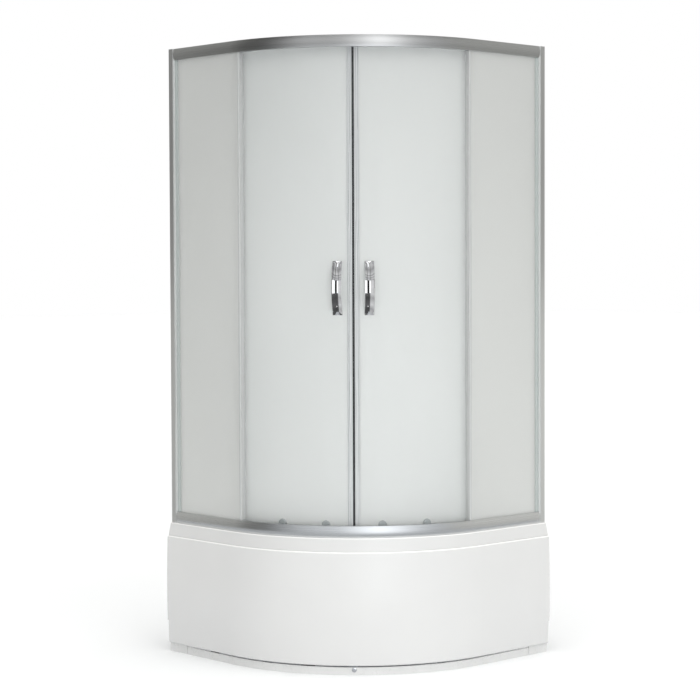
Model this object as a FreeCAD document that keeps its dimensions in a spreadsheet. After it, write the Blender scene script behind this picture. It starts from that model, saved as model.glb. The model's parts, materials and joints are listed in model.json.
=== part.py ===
import FreeCAD, Part
import math
import os
import Sketcher
from FreeCAD import Placement, Rotation, Vector

# A quadrant shower enclosure: a deep corner tray, an aluminium frame with two fixed panes,
# and two curved doors that roll along the frame's rails.
# Shapes are drawn in millimetres about the centre of the curved front, with Z up and the two
# walls at minus X and minus Y. HOME then carries every piece into the shared frame.

# Driving sizes: name, value, meaning
SIZES = [
    ("tray_size", 900, "length of the tray along each wall, at its widest"),
    ("tray_height", 430, "floor to the top of the tray rim"),
    ("frame_height", 1570, "tray rim to the top of the top rail"),
    ("curve_radius", 550, "radius of the rails' face on the curved front"),
    ("frame_setback", 22, "widest line of the tray to the rails' face"),
    ("shell", 5, "thickness of the tray shell"),
    ("rim_height", 42, "height of the flared rim band"),
    ("rim_top_setback", 18, "widest line of the tray to the top edge of the rim"),
    ("rim_foot_setback", 8, "widest line of the tray to the foot of the rim"),
    ("rim_width", 72, "flat rim between its front edge and the bowl"),
    ("rim_wall_width", 60, "flat rim between a wall and the bowl"),
    ("bowl_draft", 32, "how far the bowl narrows at the front, top to floor"),
    ("bowl_wall_draft", 40, "how far the bowl narrows at a wall, top to floor"),
    ("bowl_floor", 150, "height of the bowl's floor"),
    ("bowl_corner", 70, "plan radius of the bowl's two end corners"),
    ("bowl_heel", 120, "plan radius of the bowl's corner at the walls"),
    ("rim_round", 4, "rounding of the rim's top edge"),
    ("rim_foot_round", 1.5, "rounding of the rim's lower edge"),
    ("bowl_lip_round", 12, "rounding between rim and bowl"),
    ("bowl_floor_round", 30, "rounding between the bowl's wall and floor"),
    ("apron_bulge", 3.25, "how far the apron's face bows out"),
    ("apron_wall", 4, "thickness of the apron"),
    ("apron_flange", 18, "depth of the apron's top and bottom flanges"),
    ("apron_edge_round", 6, "rounding of the apron's top edge"),
    ("apron_foot_round", 6, "rounding of the apron's bottom edge"),
    ("apron_notch_depth", 5, "notch at the apron's ends, away from the wall"),
    ("apron_notch_height", 75, "height of that notch"),
    ("plinth_height", 30, "floor to the underside of the apron"),
    ("plinth_gap", 5, "open gap between the plinth strip and the apron"),
    ("plinth_setback", 13, "widest line of the tray to the plinth's face"),
    ("plinth_wall", 4, "thickness of the plinth"),
    ("plinth_end_length", 90, "length of each plinth end, from its wall"),
    ("plinth_joint", 1, "open joint between plinth strip and plinth end"),
    ("plinth_lip", 1.2, "how far the raised lip of a plinth end stands out"),
    ("plinth_lip_width", 7, "width of that lip"),
    ("button_radius", 7.5, "radius of the push button's head"),
    ("button_head", 3, "thickness of the push button's head"),
    ("button_shank", 3, "radius of the push button's shank"),
    ("button_tail", 2.5, "how far the shank reaches past the back of the plinth"),
    ("button_height", 17, "height of the push button above the floor"),
    ("clip_width", 30, "width of an apron clip"),
    ("clip_wall", 2.5, "thickness of an apron clip"),
    ("clip_foot", 10, "height of an apron clip's lower arm above the floor"),
    ("clip_angle", 30, "angle between neighbouring apron clips"),
    ("beam", 30, "width and height of a support beam"),
    ("beam_wall", 2, "wall of a support beam"),
    ("beam_near", 128, "first beam's centre line, from the wall beside it"),
    ("beam_far", 528, "second beam's centre line, from the same wall"),
    ("beam_gap", 12, "beam's end to the wall behind it"),
    ("tie_place", 428, "tie beam's centre line, from the other wall"),
    ("post", 25, "width of a support post"),
    ("foot_inset", 60, "foot to the post beside it"),
    ("foot_radius", 25, "radius of a foot pad"),
    ("foot_height", 14, "height of a foot pad"),
    ("foot_neck", 11, "radius of a foot pad's top"),
    ("foot_flat", 5, "height of a foot pad's rim"),
    ("foot_socket", 6, "height of the floor of a foot pad's socket"),
    ("rod_radius", 6, "radius of a foot rod"),
    ("nut_radius", 11, "corner radius of a hexagon nut"),
    ("nut_height", 10, "height of a hexagon nut"),
    ("drain_place", 198, "centre of the drain, from each wall"),
    ("drain_hole", 26, "radius of the hole in the tray"),
    ("drain_rim", 36, "radius of the drain flange"),
    ("drain_rim_height", 2.5, "thickness of the drain flange"),
    ("drain_sleeve", 25.6, "outer radius of the drain flange's sleeve"),
    ("drain_bore", 22.5, "inner radius of the drain flange's sleeve"),
    ("drain_sleeve_length", 40, "length of the sleeve below the bowl's floor"),
    ("drain_nut", 36, "corner radius of the drain nut"),
    ("drain_nut_height", 12, "height of the drain nut"),
    ("cover_radius", 32, "radius of the drain cover"),
    ("cover_height", 4, "thickness of the drain cover"),
    ("cover_skirt", 22, "outer radius of the cover's skirt"),
    ("cover_skirt_wall", 2, "wall of the cover's skirt"),
    ("cover_skirt_depth", 14, "depth of the cover's skirt"),
    ("cover_rest", 0.3, "gap between the cover and the drain flange"),
    ("cover_hole", 3.2, "radius of a hole in the cover"),
    ("cover_hole_ring", 13, "radius of the ring of holes in the cover"),
    ("trap_radius", 42, "outer radius of the trap"),
    ("trap_wall", 3, "wall of the trap"),
    ("trap_neck", 29, "outer radius of the trap's neck"),
    ("trap_neck_height", 14, "height of the trap's neck"),
    ("trap_shoulder", 12, "height of the trap's sloping shoulder"),
    ("trap_foot", 40, "height of the trap's underside"),
    ("waste_radius", 20, "outer radius of the waste pipe"),
    ("waste_wall", 2.5, "wall of the waste pipe"),
    ("waste_height", 85, "height of the waste pipe's centre line"),
    ("waste_gap", 15, "waste pipe's end to the wall"),
    ("waste_collar", 27, "radius of the waste pipe's collar"),
    ("waste_collar_length", 20, "length of the waste pipe's collar"),
    ("waste_collar_gap", 0.3, "gap between that collar and the trap"),
    ("rail_height", 37, "height of each rail"),
    ("rail_wall", 2, "wall of each rail"),
    ("rail_bulge", 4, "how far a rail's face bows out"),
    ("rail_web", 22, "rail's face to the back of its web"),
    ("rail_reach", 30, "rail's face to the end of its inner shelf"),
    ("glass", 5, "thickness of the glass"),
    ("fixed_inset", 10, "rail's face to the face of a fixed pane"),
    ("slot_play", 0.5, "play at each side of a fixed pane in its slot"),
    ("glass_bite", 12, "how far a fixed pane reaches into each rail"),
    ("stile_bite", 6, "how far a fixed pane reaches into its stile"),
    ("fixed_past", 20, "how far a fixed pane runs past the start of the curve"),
    ("profile_inset", 1, "rail's face to the face of a wall profile"),
    ("profile_width", 28, "width of a wall profile"),
    ("profile_leg", 20, "depth of a wall profile, from the wall"),
    ("profile_wall", 1.8, "wall of a wall profile and of a stile"),
    ("stile_play", 0.2, "play between a stile and its wall profile"),
    ("stile_back", 6, "back of a stile, from the wall"),
    ("stile_front", 24, "front of a stile, from the wall"),
    ("wall_hole", 2.75, "radius of a wall screw's hole"),
    ("wall_hole_outer", 1400, "distance between the outer wall screw holes"),
    ("wall_hole_inner", 480, "distance between the inner wall screw holes"),
    ("gasket_width", 14, "width of a glazing gasket"),
    ("gasket_thick", 2.4, "thickness of a glazing gasket"),
    ("seal_wall", 1.3, "wall of the clip-on seals"),
    ("seal_cover", 5, "how far a fixed pane's seal covers the glass"),
    ("seal_nose", 2, "how far it reaches past the glass"),
    ("seal_lip", 1.4, "thickness of its lip"),
    ("seal_lip_lean", 3.5, "how far the lip leans back under the fixed pane"),
    ("seal_clear", 0.8, "lip to the lower roller caps that pass under it"),
    ("end_gap", 0.5, "uprights and seals to the rails' edges"),
    ("plug_length", 30, "length of a rail end plug"),
    ("plug_step", 14, "rail's slot edge to the plug"),
    ("plug_inset", 7, "rail's face to the plug"),
    ("screw_radius", 2, "radius of a frame screw's shank"),
    ("screw_head", 4, "radius of a frame screw's head"),
    ("screw_head_height", 2.4, "height of a frame screw's head"),
    ("rail_screw_length", 20, "length of a rail screw's shank"),
    ("rail_screw_inset", 13.5, "rail's face to a rail screw"),
    ("rail_screw_step", 26, "rail's slot edge to a rail screw"),
    ("stile_screw_length", 7, "length of a stile screw's shank"),
    ("stile_screw_place", 14, "stile screw's centre, from the wall"),
    ("stile_screw_spacing", 600, "distance between neighbouring stile screws"),
    ("track_wall", 2, "thickness of a roller track"),
    ("track_step", 2, "rail's slot edge to the track"),
    ("track_flange", 14, "height of the track's flange on the rail's web"),
    ("bead_inset", 28, "rail's face to the middle of the track's bead"),
    ("bead_height", 4, "height of the bead above the track's floor"),
    ("wheel_radius", 11.5, "radius of a roller wheel"),
    ("wheel_width", 7, "width of a roller wheel"),
    ("groove_depth", 2, "depth of the wheel's groove"),
    ("groove_play", 0.6, "play at each side of the bead in the groove"),
    ("groove_flare", 0.6, "how far each side of the groove flares"),
    ("roll_gap", 0.3, "gap between a wheel and its bead"),
    ("axle_radius", 3, "radius of a wheel's axle"),
    ("axle_play", 0.05, "running clearance between axle and wheel"),
    ("axle_head", 5.2, "radius of the axle's head"),
    ("axle_head_height", 2, "height of the axle's head"),
    ("side_gap", 0.3, "gap at the side of the axle's head and the spacer"),
    ("roller_near", 10, "angle from the middle of the front to a door's first roller"),
    ("roller_far", 26.5, "angle from the middle of the front to its second roller"),
    ("roller_cap", 13.5, "radius of the caps on the lower rollers"),
    ("roller_cap_rise", 0.5, "centre of those caps above the bottom rail's edge"),
    ("roller_spacer", 8, "radius of the spacers on the upper rollers"),
    ("roller_arm", 16, "width of the arm below a lower roller's cap"),
    ("roller_button", 11, "radius of the rollers' inner buttons"),
    ("button_depth", 6, "depth of the inner buttons"),
    ("bevel", 1.5, "bevel on caps and buttons"),
    ("shank_radius", 5.9, "radius of a roller's shank in the glass"),
    ("glass_hole", 6.1, "radius of the rollers' holes in the glass"),
    ("door_inset", 37, "rail's face to the door glass"),
    ("door_foot_gap", 8, "tray rim to the door glass"),
    ("door_top_gap", 4, "top of the door glass to the top of the rail"),
    ("door_edge_angle", 47.5, "angle from the middle of the front to a door's rear edge"),
    ("door_opening_angle", 29, "angle that a door rolls through"),
    ("seam_gap", 0.15, "half of the gap between the closed doors"),
    ("magnet_width", 3.4, "width of a magnet bar"),
    ("meeting_nose", 14, "middle of the front to the door glass"),
    ("meeting_seal", 19, "middle of the front to the end of the meeting seal"),
    ("rear_seal", 8, "width of the seal on a door's rear edge"),
    ("rear_seal_nose", 2, "how far that seal reaches past the glass"),
    ("stop_angle", 1.2, "angle that a door stop takes up"),
    ("stop_gap_angle", 0.3, "angle between a door stop and the wheel that meets it"),
    ("stop_height", 22, "height of a door stop above the track's floor"),
    ("track_end_angle", 0.6, "track past the end of a door stop, as an angle"),
    ("handle_height", 1213, "height of the handles' middle above the floor"),
    ("handle_place", 50, "handle's middle from the middle of the front"),
    ("handle_length", 170, "length of a handle"),
    ("handle_reach", 36, "how far a handle's bow stands out"),
    ("handle_thick", 9, "thickness of a handle at the middle of its bow"),
    ("handle_width", 30, "width of a handle"),
    ("handle_foot", 15, "height of a handle's foot on the glass"),
    ("handle_round", 3.5, "rounding of a handle's long edges"),
    ("washer", 1, "thickness of the washers under a handle"),
    ("washer_radius", 6.5, "radius of those washers"),
    ("handle_screw", 2.5, "radius of a handle's screws"),
    ("handle_screw_bite", 5, "how far a screw reaches into the handle"),
    ("handle_hole", 4, "radius of the handles' holes in the glass"),
    ("handle_button", 9, "radius of the handle screws' inner buttons"),
]
FULL_TURN = 360
RIGHT_ANGLE = 90
HALF_RIGHT_ANGLE = 45
COVER_HOLES = 8
HEXAGON = 6
THROUGH = 3  # length of a through hole's tool, in thicknesses of what it drills
SAME = 0.01  # lengths in millimetres that differ by less count as the same

UP = Vector(0, 0, 1)
ALONG_X = Rotation(Vector(0, 1, 0), RIGHT_ANGLE)
ALONG_Y = Rotation(Vector(1, 0, 0), -RIGHT_ANGLE)


class Dim:
    """A size made from the sheet's sizes: its value now, and the expression that binds it."""

    def __init__(self, value, text):
        self.value = float(value)
        self.text = text

    def join(self, sign, value, other):
        return Dim(value, "(%s %s %s)" % (self.text, sign, other.text))

    def __add__(self, other):
        other = as_dim(other)
        return self.join("+", self.value + other.value, other)

    def __sub__(self, other):
        other = as_dim(other)
        return self.join("-", self.value - other.value, other)

    def __mul__(self, other):
        other = as_dim(other)
        return self.join("*", self.value * other.value, other)

    def __truediv__(self, other):
        other = as_dim(other)
        return self.join("/", self.value / other.value, other)

    def __neg__(self):
        return Dim(-self.value, "(-1 * %s)" % self.text)


def as_dim(number):
    return number if isinstance(number, Dim) else Dim(number, repr(float(number)))


def root(dim):
    return Dim(math.sqrt(dim.value), "sqrt(%s)" % dim.text)


def arc_degrees(length, radius):
    """The angle that a length takes up on a circle, in degrees."""
    ratio = length / radius
    return Dim(math.degrees(ratio.value), "(%s * 180 / pi)" % ratio.text)


def bow_radius(chord, rise):
    """The radius of an arc with this chord and rise."""
    return (chord * chord / 4 + rise * rise) / (rise * 2)


doc = FreeCAD.newDocument("ShowerEnclosure")
sheet = doc.addObject("Spreadsheet::Sheet", "Sizes")


class Named:
    """Holds each size of the sheet under its own name."""


s = Named()
for row, (name, value, meaning) in enumerate(SIZES, 1):
    sheet.set("A%d" % row, name)
    sheet.set("B%d" % row, str(value))
    sheet.set("C%d" % row, meaning)
    sheet.setAlias("B%d" % row, name)
    setattr(s, name, Dim(value, "Sizes." + name))
doc.recompute()

# Sizes that follow from the sheet
ZERO = as_dim(0)
to_wall = s.tray_size - s.frame_setback - s.curve_radius
wall = -to_wall
tray_radius = s.tray_size - to_wall
face = s.curve_radius
total_height = s.tray_height + s.frame_height
lower_edge = s.tray_height + s.rail_height
upper_edge = total_height - s.rail_height
door_outer = face - s.door_inset
door_inner = door_outer - s.glass
door_foot = s.tray_height + s.door_foot_gap
door_top = total_height - s.door_top_gap
bead_top = s.track_step + s.track_wall + s.bead_height
groove_radius = s.wheel_radius - s.groove_depth
wheel_step = bead_top + s.roll_gap + groove_radius
upper_axle = upper_edge + wheel_step
lower_axle = lower_edge - wheel_step
cap_height = lower_edge + s.roller_cap_rise
spacer_face = face - s.bead_inset - s.wheel_width / 2 - s.side_gap
button_seat = s.roller_button * s.roller_button / (door_inner * 2)
wheel_angle = arc_degrees(s.wheel_radius, face - s.bead_inset)
stop_start = s.roller_far + s.door_opening_angle + wheel_angle + s.stop_gap_angle
track_half = stop_start + s.stop_angle + s.track_end_angle
handle_angle = arc_degrees(s.handle_place, door_outer)
handle_hole_rise = (s.handle_length - s.handle_foot) / 2

home_shift = s.tray_size / 2 - to_wall
HOME = Placement(Vector(-home_shift.value, home_shift.value, 0), Rotation(UP, -RIGHT_ANGLE))
nodes = []


# Helpers that draw

def bind(thing, path, dim):
    thing.setExpression(path, dim.text)


def in_order(first, second):
    """Two sizes, the lower one first."""
    return (first, second) if first.value <= second.value else (second, first)


def origin_feature(body, role):
    """One of the planes or axes that a body is drawn on."""
    return next(f for f in body.Origin.OriginFeatures if f.Role == role)


def arc_between(start, end, radius, leftward):
    """The arc from start to end that turns left, or right, with this radius."""
    chord = end - start
    half = chord.Length / 2
    side = Vector(-chord.y, chord.x, 0).normalize()
    reach = math.sqrt(max(radius * radius - half * half, 0.0))
    centre = start + chord * 0.5 + side * (reach if leftward else -reach)
    first, last = (start, end) if leftward else (end, start)
    begin = math.atan2(first.y - centre.y, first.x - centre.x)
    finish = math.atan2(last.y - centre.y, last.x - centre.x)
    if finish <= begin:
        finish += 2 * math.pi
    return Part.ArcOfCircle(Part.Circle(centre, UP, radius), begin, finish)


def new_sketch(body, name, plane, rise=None, lift=None):
    """An empty sketch on one of the body's planes; rise moves it in the plane, lift off the plane."""
    sketch = body.newObject("Sketcher::SketchObject", name)
    sketch.AttachmentSupport = (origin_feature(body, plane), [""])
    sketch.MapMode = "FlatFace"
    if rise is not None:
        bind(sketch, "AttachmentOffset.Base.y", rise)
    if lift is not None:
        bind(sketch, "AttachmentOffset.Base.z", lift)
    return sketch


def hold_point(sketch, piece, end, x, y):
    """Ties one point of a sketch to two sizes."""
    for kind, dim in (("DistanceX", x), ("DistanceY", y)):
        number = sketch.addConstraint(Sketcher.Constraint(kind, -1, 1, piece, end, dim.value))
        bind(sketch, "Constraints[%d]" % number, dim)


def outline(body, name, plane, corners, rise=None, lift=None):
    """A closed sketch. A corner is (x, y), or (x, y, radius, left) where an arc leads to the next one."""
    sketch = new_sketch(body, name, plane, rise, lift)
    count = len(corners)
    ends = []
    for i, corner in enumerate(corners):
        following = corners[(i + 1) % count]
        start = Vector(corner[0].value, corner[1].value, 0)
        end = Vector(following[0].value, following[1].value, 0)
        if len(corner) == 2:
            sketch.addGeometry(Part.LineSegment(start, end))
            ends.append((1, 2))
        else:
            sketch.addGeometry(arc_between(start, end, corner[2].value, corner[3]))
            ends.append((1, 2) if corner[3] else (2, 1))
    for i in range(count):
        after = (i + 1) % count
        sketch.addConstraint(Sketcher.Constraint("Coincident", i, ends[i][1], after, ends[after][0]))
    for i, corner in enumerate(corners):
        hold_point(sketch, i, ends[i][0], corner[0], corner[1])
        if len(corner) > 2:
            number = sketch.addConstraint(Sketcher.Constraint("Radius", i, corner[2].value))
            bind(sketch, "Constraints[%d]" % number, corner[2])
    return sketch


def rectangle(x_low, x_high, y_low, y_high):
    return [(x_low, y_low), (x_high, y_low), (x_high, y_high), (x_low, y_high)]


def circle(body, name, plane, x, y, radius, lift=None):
    sketch = new_sketch(body, name, plane, None, lift)
    sketch.addGeometry(Part.Circle(Vector(x.value, y.value, 0), UP, radius.value))
    hold_point(sketch, 0, 3, x, y)
    number = sketch.addConstraint(Sketcher.Constraint("Radius", 0, radius.value))
    bind(sketch, "Constraints[%d]" % number, radius)
    return sketch


def new_body(name):
    return doc.addObject("PartDesign::Body", name)


def pad(body, sketch, length, backward=False, both_ways=False):
    made = body.newObject("PartDesign::Pad", sketch.Name + "_pad")
    made.Profile = sketch
    made.Reversed = backward
    if both_ways:
        made.SideType = "Symmetric"
    bind(made, "Length", length)
    return made


def pocket(body, sketch, length, backward=False):
    made = body.newObject("PartDesign::Pocket", sketch.Name + "_pocket")
    made.Profile = sketch
    made.Reversed = backward
    bind(made, "Length", length)
    return made


def spin(body, sketch, angle, axis="V_Axis", both_ways=False):
    made = body.newObject("PartDesign::Revolution", sketch.Name + "_spin")
    made.Profile = sketch
    made.ReferenceAxis = (sketch, [axis])
    made.Midplane = both_ways
    bind(made, "Angle", as_dim(angle))
    return made


def turned(body, name, profile, height):
    """Spins a profile about a level line at this height; its points are (place on the line, radius)."""
    sketch = outline(body, name, "XZ_Plane", profile, rise=height)
    return spin(body, sketch, FULL_TURN, "H_Axis")


def loft(body, kind, first, second):
    made = body.newObject("PartDesign::" + kind, first.Name + "_loft")
    made.Profile = first
    made.Sections = [second]
    made.Ruled = True
    return made


def fillet(body, name, radius, wanted):
    """Rounds the edges of the body's tip that the test picks out."""
    doc.recompute()
    tip = body.Tip
    names = ["Edge%d" % i for i, edge in enumerate(tip.Shape.Edges, 1) if wanted(edge)]
    made = body.newObject("PartDesign::Fillet", name)
    made.Base = (tip, names)
    bind(made, "Radius", radius)
    return made


def turn_to(thing, angle):
    """Turns a piece about the centre of the curved front."""
    thing.Placement = Placement(Vector(), Rotation(UP, angle.value))
    bind(thing, "Placement.Rotation.Angle", angle)
    return thing


def left_of_middle(angle):
    """The direction of a place on the left half, from its angle to the middle of the front."""
    return as_dim(HALF_RIGHT_ANGLE) - angle


def along_front(name, corners, length):
    """A section drawn as (radius, height), carried along the front's two straights and its curve."""
    body = new_body(name)
    first = outline(body, name + "_first", "XZ_Plane", corners)
    second = outline(body, name + "_second", "YZ_Plane", corners)
    pad(body, first, length)
    spin(body, first, RIGHT_ANGLE)
    pad(body, second, length, backward=True)
    return body


def ring_part(name, r_low, r_high, z_low, z_high, angle_low, angle_high):
    """A piece of a ring about the front's centre, between two angles left of the middle."""
    body = new_body(name)
    sketch = outline(body, name + "_section", "XZ_Plane", rectangle(r_low, r_high, z_low, z_high))
    spin(body, sketch, angle_high - angle_low)
    turn_to(body, left_of_middle(angle_high))
    return body


def put(thing, x, y, z, rotation=Rotation()):
    """Places a primitive at three sizes."""
    thing.Placement = Placement(Vector(x.value, y.value, z.value), rotation)
    for letter, dim in zip("xyz", (x, y, z)):
        bind(thing, "Placement.Base." + letter, dim)
    return thing


def box(name, x, y, z):
    """A box from three (low, high) pairs."""
    made = doc.addObject("Part::Box", name)
    for path, pair in (("Length", x), ("Width", y), ("Height", z)):
        bind(made, path, pair[1] - pair[0])
    return put(made, x[0], y[0], z[0])


def cylinder(name, radius, length, x, y, z, rotation=Rotation()):
    made = doc.addObject("Part::Cylinder", name)
    bind(made, "Radius", radius)
    bind(made, "Height", length)
    return put(made, x, y, z, rotation)


def radial_hole(name, radius, height, angle):
    """A tool that drills a door's glass towards the centre of the front."""
    drill = cylinder(name, radius, s.glass * THROUGH, door_inner - s.glass, ZERO, height, ALONG_X)
    return group(name + "_turned", [drill], left_of_middle(angle))


def group(name, pieces, angle=None):
    made = doc.addObject("Part::Compound", name)
    made.Links = pieces
    if angle is not None:
        turn_to(made, angle)
    return made


def cut(name, base, tools):
    made = doc.addObject("Part::Cut", name)
    made.Base = base
    made.Tool = tools[0] if len(tools) == 1 else group(name + "_tools", tools)
    return made


def hexagon_nut(name, corner_radius, bore_radius, height, spot):
    """A hexagon nut that stands on a spot (x, y, z)."""
    block = doc.addObject("Part::Prism", name + "_block")
    block.Polygon = HEXAGON
    bind(block, "Circumradius", corner_radius)
    bind(block, "Height", height)
    put(block, *spot)
    return cut(name, block, [cylinder(name + "_bore", bore_radius, height, *spot)])


def mirrored(piece):
    """The same piece on the right half."""
    made = doc.addObject("Part::Mirroring", piece.Name + "_mirrored")
    made.Source = piece
    made.Base = Vector(0, 0, 0)
    made.Normal = Vector(1, -1, 0).normalize()
    return made


def node(label, pieces):
    """Files pieces under one name, in the shared frame."""
    made = doc.addObject("Part::Compound", "node_" + label)
    made.Links = pieces
    made.Placement = HOME
    bind(made, "Placement.Base.x", -home_shift)
    bind(made, "Placement.Base.y", home_shift)
    made.Label = label
    nodes.append(made)


def pair(stem, pieces):
    """Files pieces of the left half, and their mirror images."""
    node("left_" + stem, pieces)
    node("right_" + stem, [mirrored(p) for p in pieces])


def on_both_sides(pieces):
    return pieces + [mirrored(p) for p in pieces]


# Tray

def quadrant(radius, margin):
    """The tray's plan: two walls, two straights and the curve."""
    back = wall + margin
    return [(back, back), (radius, back), (radius, ZERO, radius, True), (ZERO, radius), (back, radius)]


def bowl_plan(radius, margin, corner, heel):
    """The bowl's plan, with rounded corners."""
    back = wall + margin
    return [
        (back + heel, back),
        (radius - corner, back, corner, True),
        (radius, back + corner),
        (radius, ZERO, radius, True),
        (ZERO, radius),
        (back + corner, radius, corner, True),
        (back, radius - corner),
        (back, back + heel, heel, True),
    ]


rim_top = tray_radius - s.rim_top_setback
rim_foot = tray_radius - s.rim_foot_setback
bowl_top = rim_top - s.rim_width
bowl_base = bowl_top - s.bowl_draft
bowl_wall_base = s.rim_wall_width + s.bowl_wall_draft
rim_base = s.tray_height - s.rim_height
rim_under = s.tray_height - s.shell
floor_under = s.bowl_floor - s.shell
drain_spot = wall + s.drain_place


def is_level(edge, height):
    return all(abs(v.Z - height.value) < SAME for v in edge.Vertexes)


def reach_of(x, y):
    """How far a point lies towards the front: its radius on the curve, or its offset on a straight."""
    return max(x, y, math.hypot(max(x, 0), max(y, 0)))


def within(radius, height):
    """A test for edges at one height that stay off the walls and inside a radius."""
    def test(edge):
        centre = edge.BoundBox.Center
        clear = min(centre.x, centre.y) > wall.value + SAME
        return is_level(edge, height) and clear and reach_of(centre.x, centre.y) < radius.value + SAME
    return test


def on_front(radius, height):
    """A test for edges at one height that run along the front."""
    def test(edge):
        on_line = [abs(reach_of(v.X, v.Y) - radius.value) < SAME for v in edge.Vertexes]
        return is_level(edge, height) and all(on_line)
    return test


def make_tray_shell():
    skirt = [
        (rim_top - s.shell, s.tray_height),
        (rim_top - s.shell, rim_under),
        (rim_foot - s.shell, rim_base),
        (rim_foot, rim_base),
        (rim_top, s.tray_height),
    ]
    body = along_front("tray_shell_body", skirt, to_wall)
    top = outline(body, "rim_plan", "XY_Plane", quadrant(rim_top - s.shell, ZERO), lift=rim_under)
    pad(body, top, s.shell)
    back = wall + s.shell
    reach = rim_top - s.shell
    lips = [(wall, wall), (reach, wall), (reach, back), (back, back), (back, reach), (wall, reach)]
    pad(body, outline(body, "rim_wall_lips", "XY_Plane", lips, lift=rim_base), s.rim_height - s.shell)
    base_plan = bowl_plan(bowl_base + s.shell, bowl_wall_base - s.shell, s.bowl_corner, s.bowl_heel)
    base = outline(body, "bowl_skin_base", "XY_Plane", base_plan, lift=floor_under)
    brim_plan = bowl_plan(bowl_top + s.shell, s.rim_wall_width - s.shell, s.bowl_corner, s.bowl_heel)
    brim = outline(body, "bowl_skin_brim", "XY_Plane", brim_plan, lift=s.tray_height - s.shell / 2)
    loft(body, "AdditiveLoft", base, brim)
    base_plan = bowl_plan(bowl_base, bowl_wall_base, s.bowl_corner, s.bowl_heel)
    base = outline(body, "bowl_base", "XY_Plane", base_plan, lift=s.bowl_floor)
    brim_plan = bowl_plan(bowl_top, s.rim_wall_width, s.bowl_corner, s.bowl_heel)
    brim = outline(body, "bowl_brim", "XY_Plane", brim_plan, lift=s.tray_height)
    loft(body, "SubtractiveLoft", base, brim)
    fillet(body, "rim_edge", s.rim_round, on_front(rim_top, s.tray_height))
    fillet(body, "rim_foot_edge", s.rim_foot_round, on_front(rim_foot, rim_base))
    fillet(body, "bowl_lip", s.bowl_lip_round, within(bowl_top, s.tray_height))
    fillet(body, "bowl_floor_edge", s.bowl_floor_round, within(bowl_top, s.bowl_floor))
    hole = circle(body, "drain_hole", "XY_Plane", drain_spot, drain_spot, s.drain_hole, lift=s.bowl_floor)
    pocket(body, hole, s.shell * THROUGH)
    node("tray_shell", [body])


def make_apron():
    edge = tray_radius - s.apron_bulge
    inside = edge - s.apron_wall
    top = rim_base
    foot = s.plinth_height
    bow = bow_radius(top - foot, s.apron_bulge)
    inner_bow = bow_radius(top - foot - s.apron_wall * 2, s.apron_bulge)
    corners = [
        (edge, foot, bow, True),
        (edge, top),
        (edge - s.apron_flange, top),
        (edge - s.apron_flange, top - s.apron_wall),
        (inside, top - s.apron_wall, inner_bow, False),
        (inside, foot + s.apron_wall),
        (edge - s.apron_flange, foot + s.apron_wall),
        (edge - s.apron_flange, foot),
    ]
    body = along_front("apron_body", corners, to_wall)
    fillet(body, "apron_top_edge", s.apron_edge_round, on_front(edge, top))
    fillet(body, "apron_foot_edge", s.apron_foot_round, on_front(edge, foot))
    reach = (inside - s.apron_flange, tray_radius + s.apron_flange)
    depth = (wall, wall + s.apron_notch_depth)
    notch = box("apron_notch", reach, depth, (ZERO, foot + s.apron_notch_height))
    node("tray_apron", [cut("apron_notched", body, on_both_sides([notch]))])


def make_plinth():
    outer = tray_radius - s.plinth_setback
    inner = outer - s.plinth_wall
    end = wall + s.plinth_end_length
    section = rectangle(inner, outer, ZERO, s.plinth_height - s.plinth_gap)
    strip = along_front("plinth_strip_body", section, to_wall - s.plinth_end_length - s.plinth_joint)
    start = inner - s.plinth_wall
    length = s.plinth_wall * THROUGH
    hole = cylinder("button_hole", s.button_shank, length, start, ZERO, s.button_height, ALONG_X)
    hole = group("button_hole_turned", [hole], as_dim(HALF_RIGHT_ANGLE))
    node("plinth_strip", [cut("plinth_strip_drilled", strip, [hole])])
    block = new_body("plinth_end_body")
    plan = [
        (inner, wall),
        (outer, wall),
        (outer, end - s.plinth_lip_width),
        (outer + s.plinth_lip, end - s.plinth_lip_width),
        (outer + s.plinth_lip, end),
        (inner, end),
    ]
    pad(block, outline(block, "plinth_end_plan", "XY_Plane", plan), s.plinth_height)
    node("plinth_ends", on_both_sides([block]))
    head = new_body("button_body")
    profile = [
        (inner - s.button_tail, ZERO),
        (outer + s.button_head, ZERO),
        (outer + s.button_head, s.button_radius / 2),
        (outer + s.button_head / 2, s.button_radius),
        (outer, s.button_radius),
        (outer, s.button_shank),
        (inner - s.button_tail, s.button_shank),
    ]
    turned(head, "button_profile", profile, s.button_height)
    turn_to(head, as_dim(HALF_RIGHT_ANGLE))
    node("plinth_button", [head])


def make_apron_clips():
    """Clips that hook over the apron's lower flange and stand against the plinth."""
    flange_end = tray_radius - s.apron_bulge - s.apron_flange
    back = flange_end - s.clip_wall
    plinth_back = tray_radius - s.plinth_setback - s.plinth_wall
    flange_top = s.plinth_height + s.apron_wall
    sag = s.clip_width * s.clip_width / (plinth_back * 8)
    profile = [
        (back - sag, s.clip_foot),
        (plinth_back - sag, s.clip_foot),
        (plinth_back - sag, s.clip_foot + s.clip_wall),
        (flange_end - sag, s.clip_foot + s.clip_wall),
        (flange_end - sag, flange_top),
        (plinth_back, flange_top),
        (plinth_back, flange_top + s.clip_wall),
        (back - sag, flange_top + s.clip_wall),
    ]
    clips = []
    for step in (-1, 0, 1):
        body = new_body("apron_clip_%d" % (step + 1))
        sketch = outline(body, body.Name + "_profile", "XZ_Plane", profile)
        pad(body, sketch, s.clip_width, both_ways=True)
        clips.append(turn_to(body, as_dim(HALF_RIGHT_ANGLE) + s.clip_angle * step))
    node("apron_clips", clips)


# Tray support

beam_top = floor_under
beam_base = beam_top - s.beam
post_line = bowl_top + s.rim_width / 2
beam_lines = (wall + s.beam_near, wall + s.beam_far)
post_back = wall + s.beam_gap + s.post / 2
tie_line = wall + s.tie_place


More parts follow.
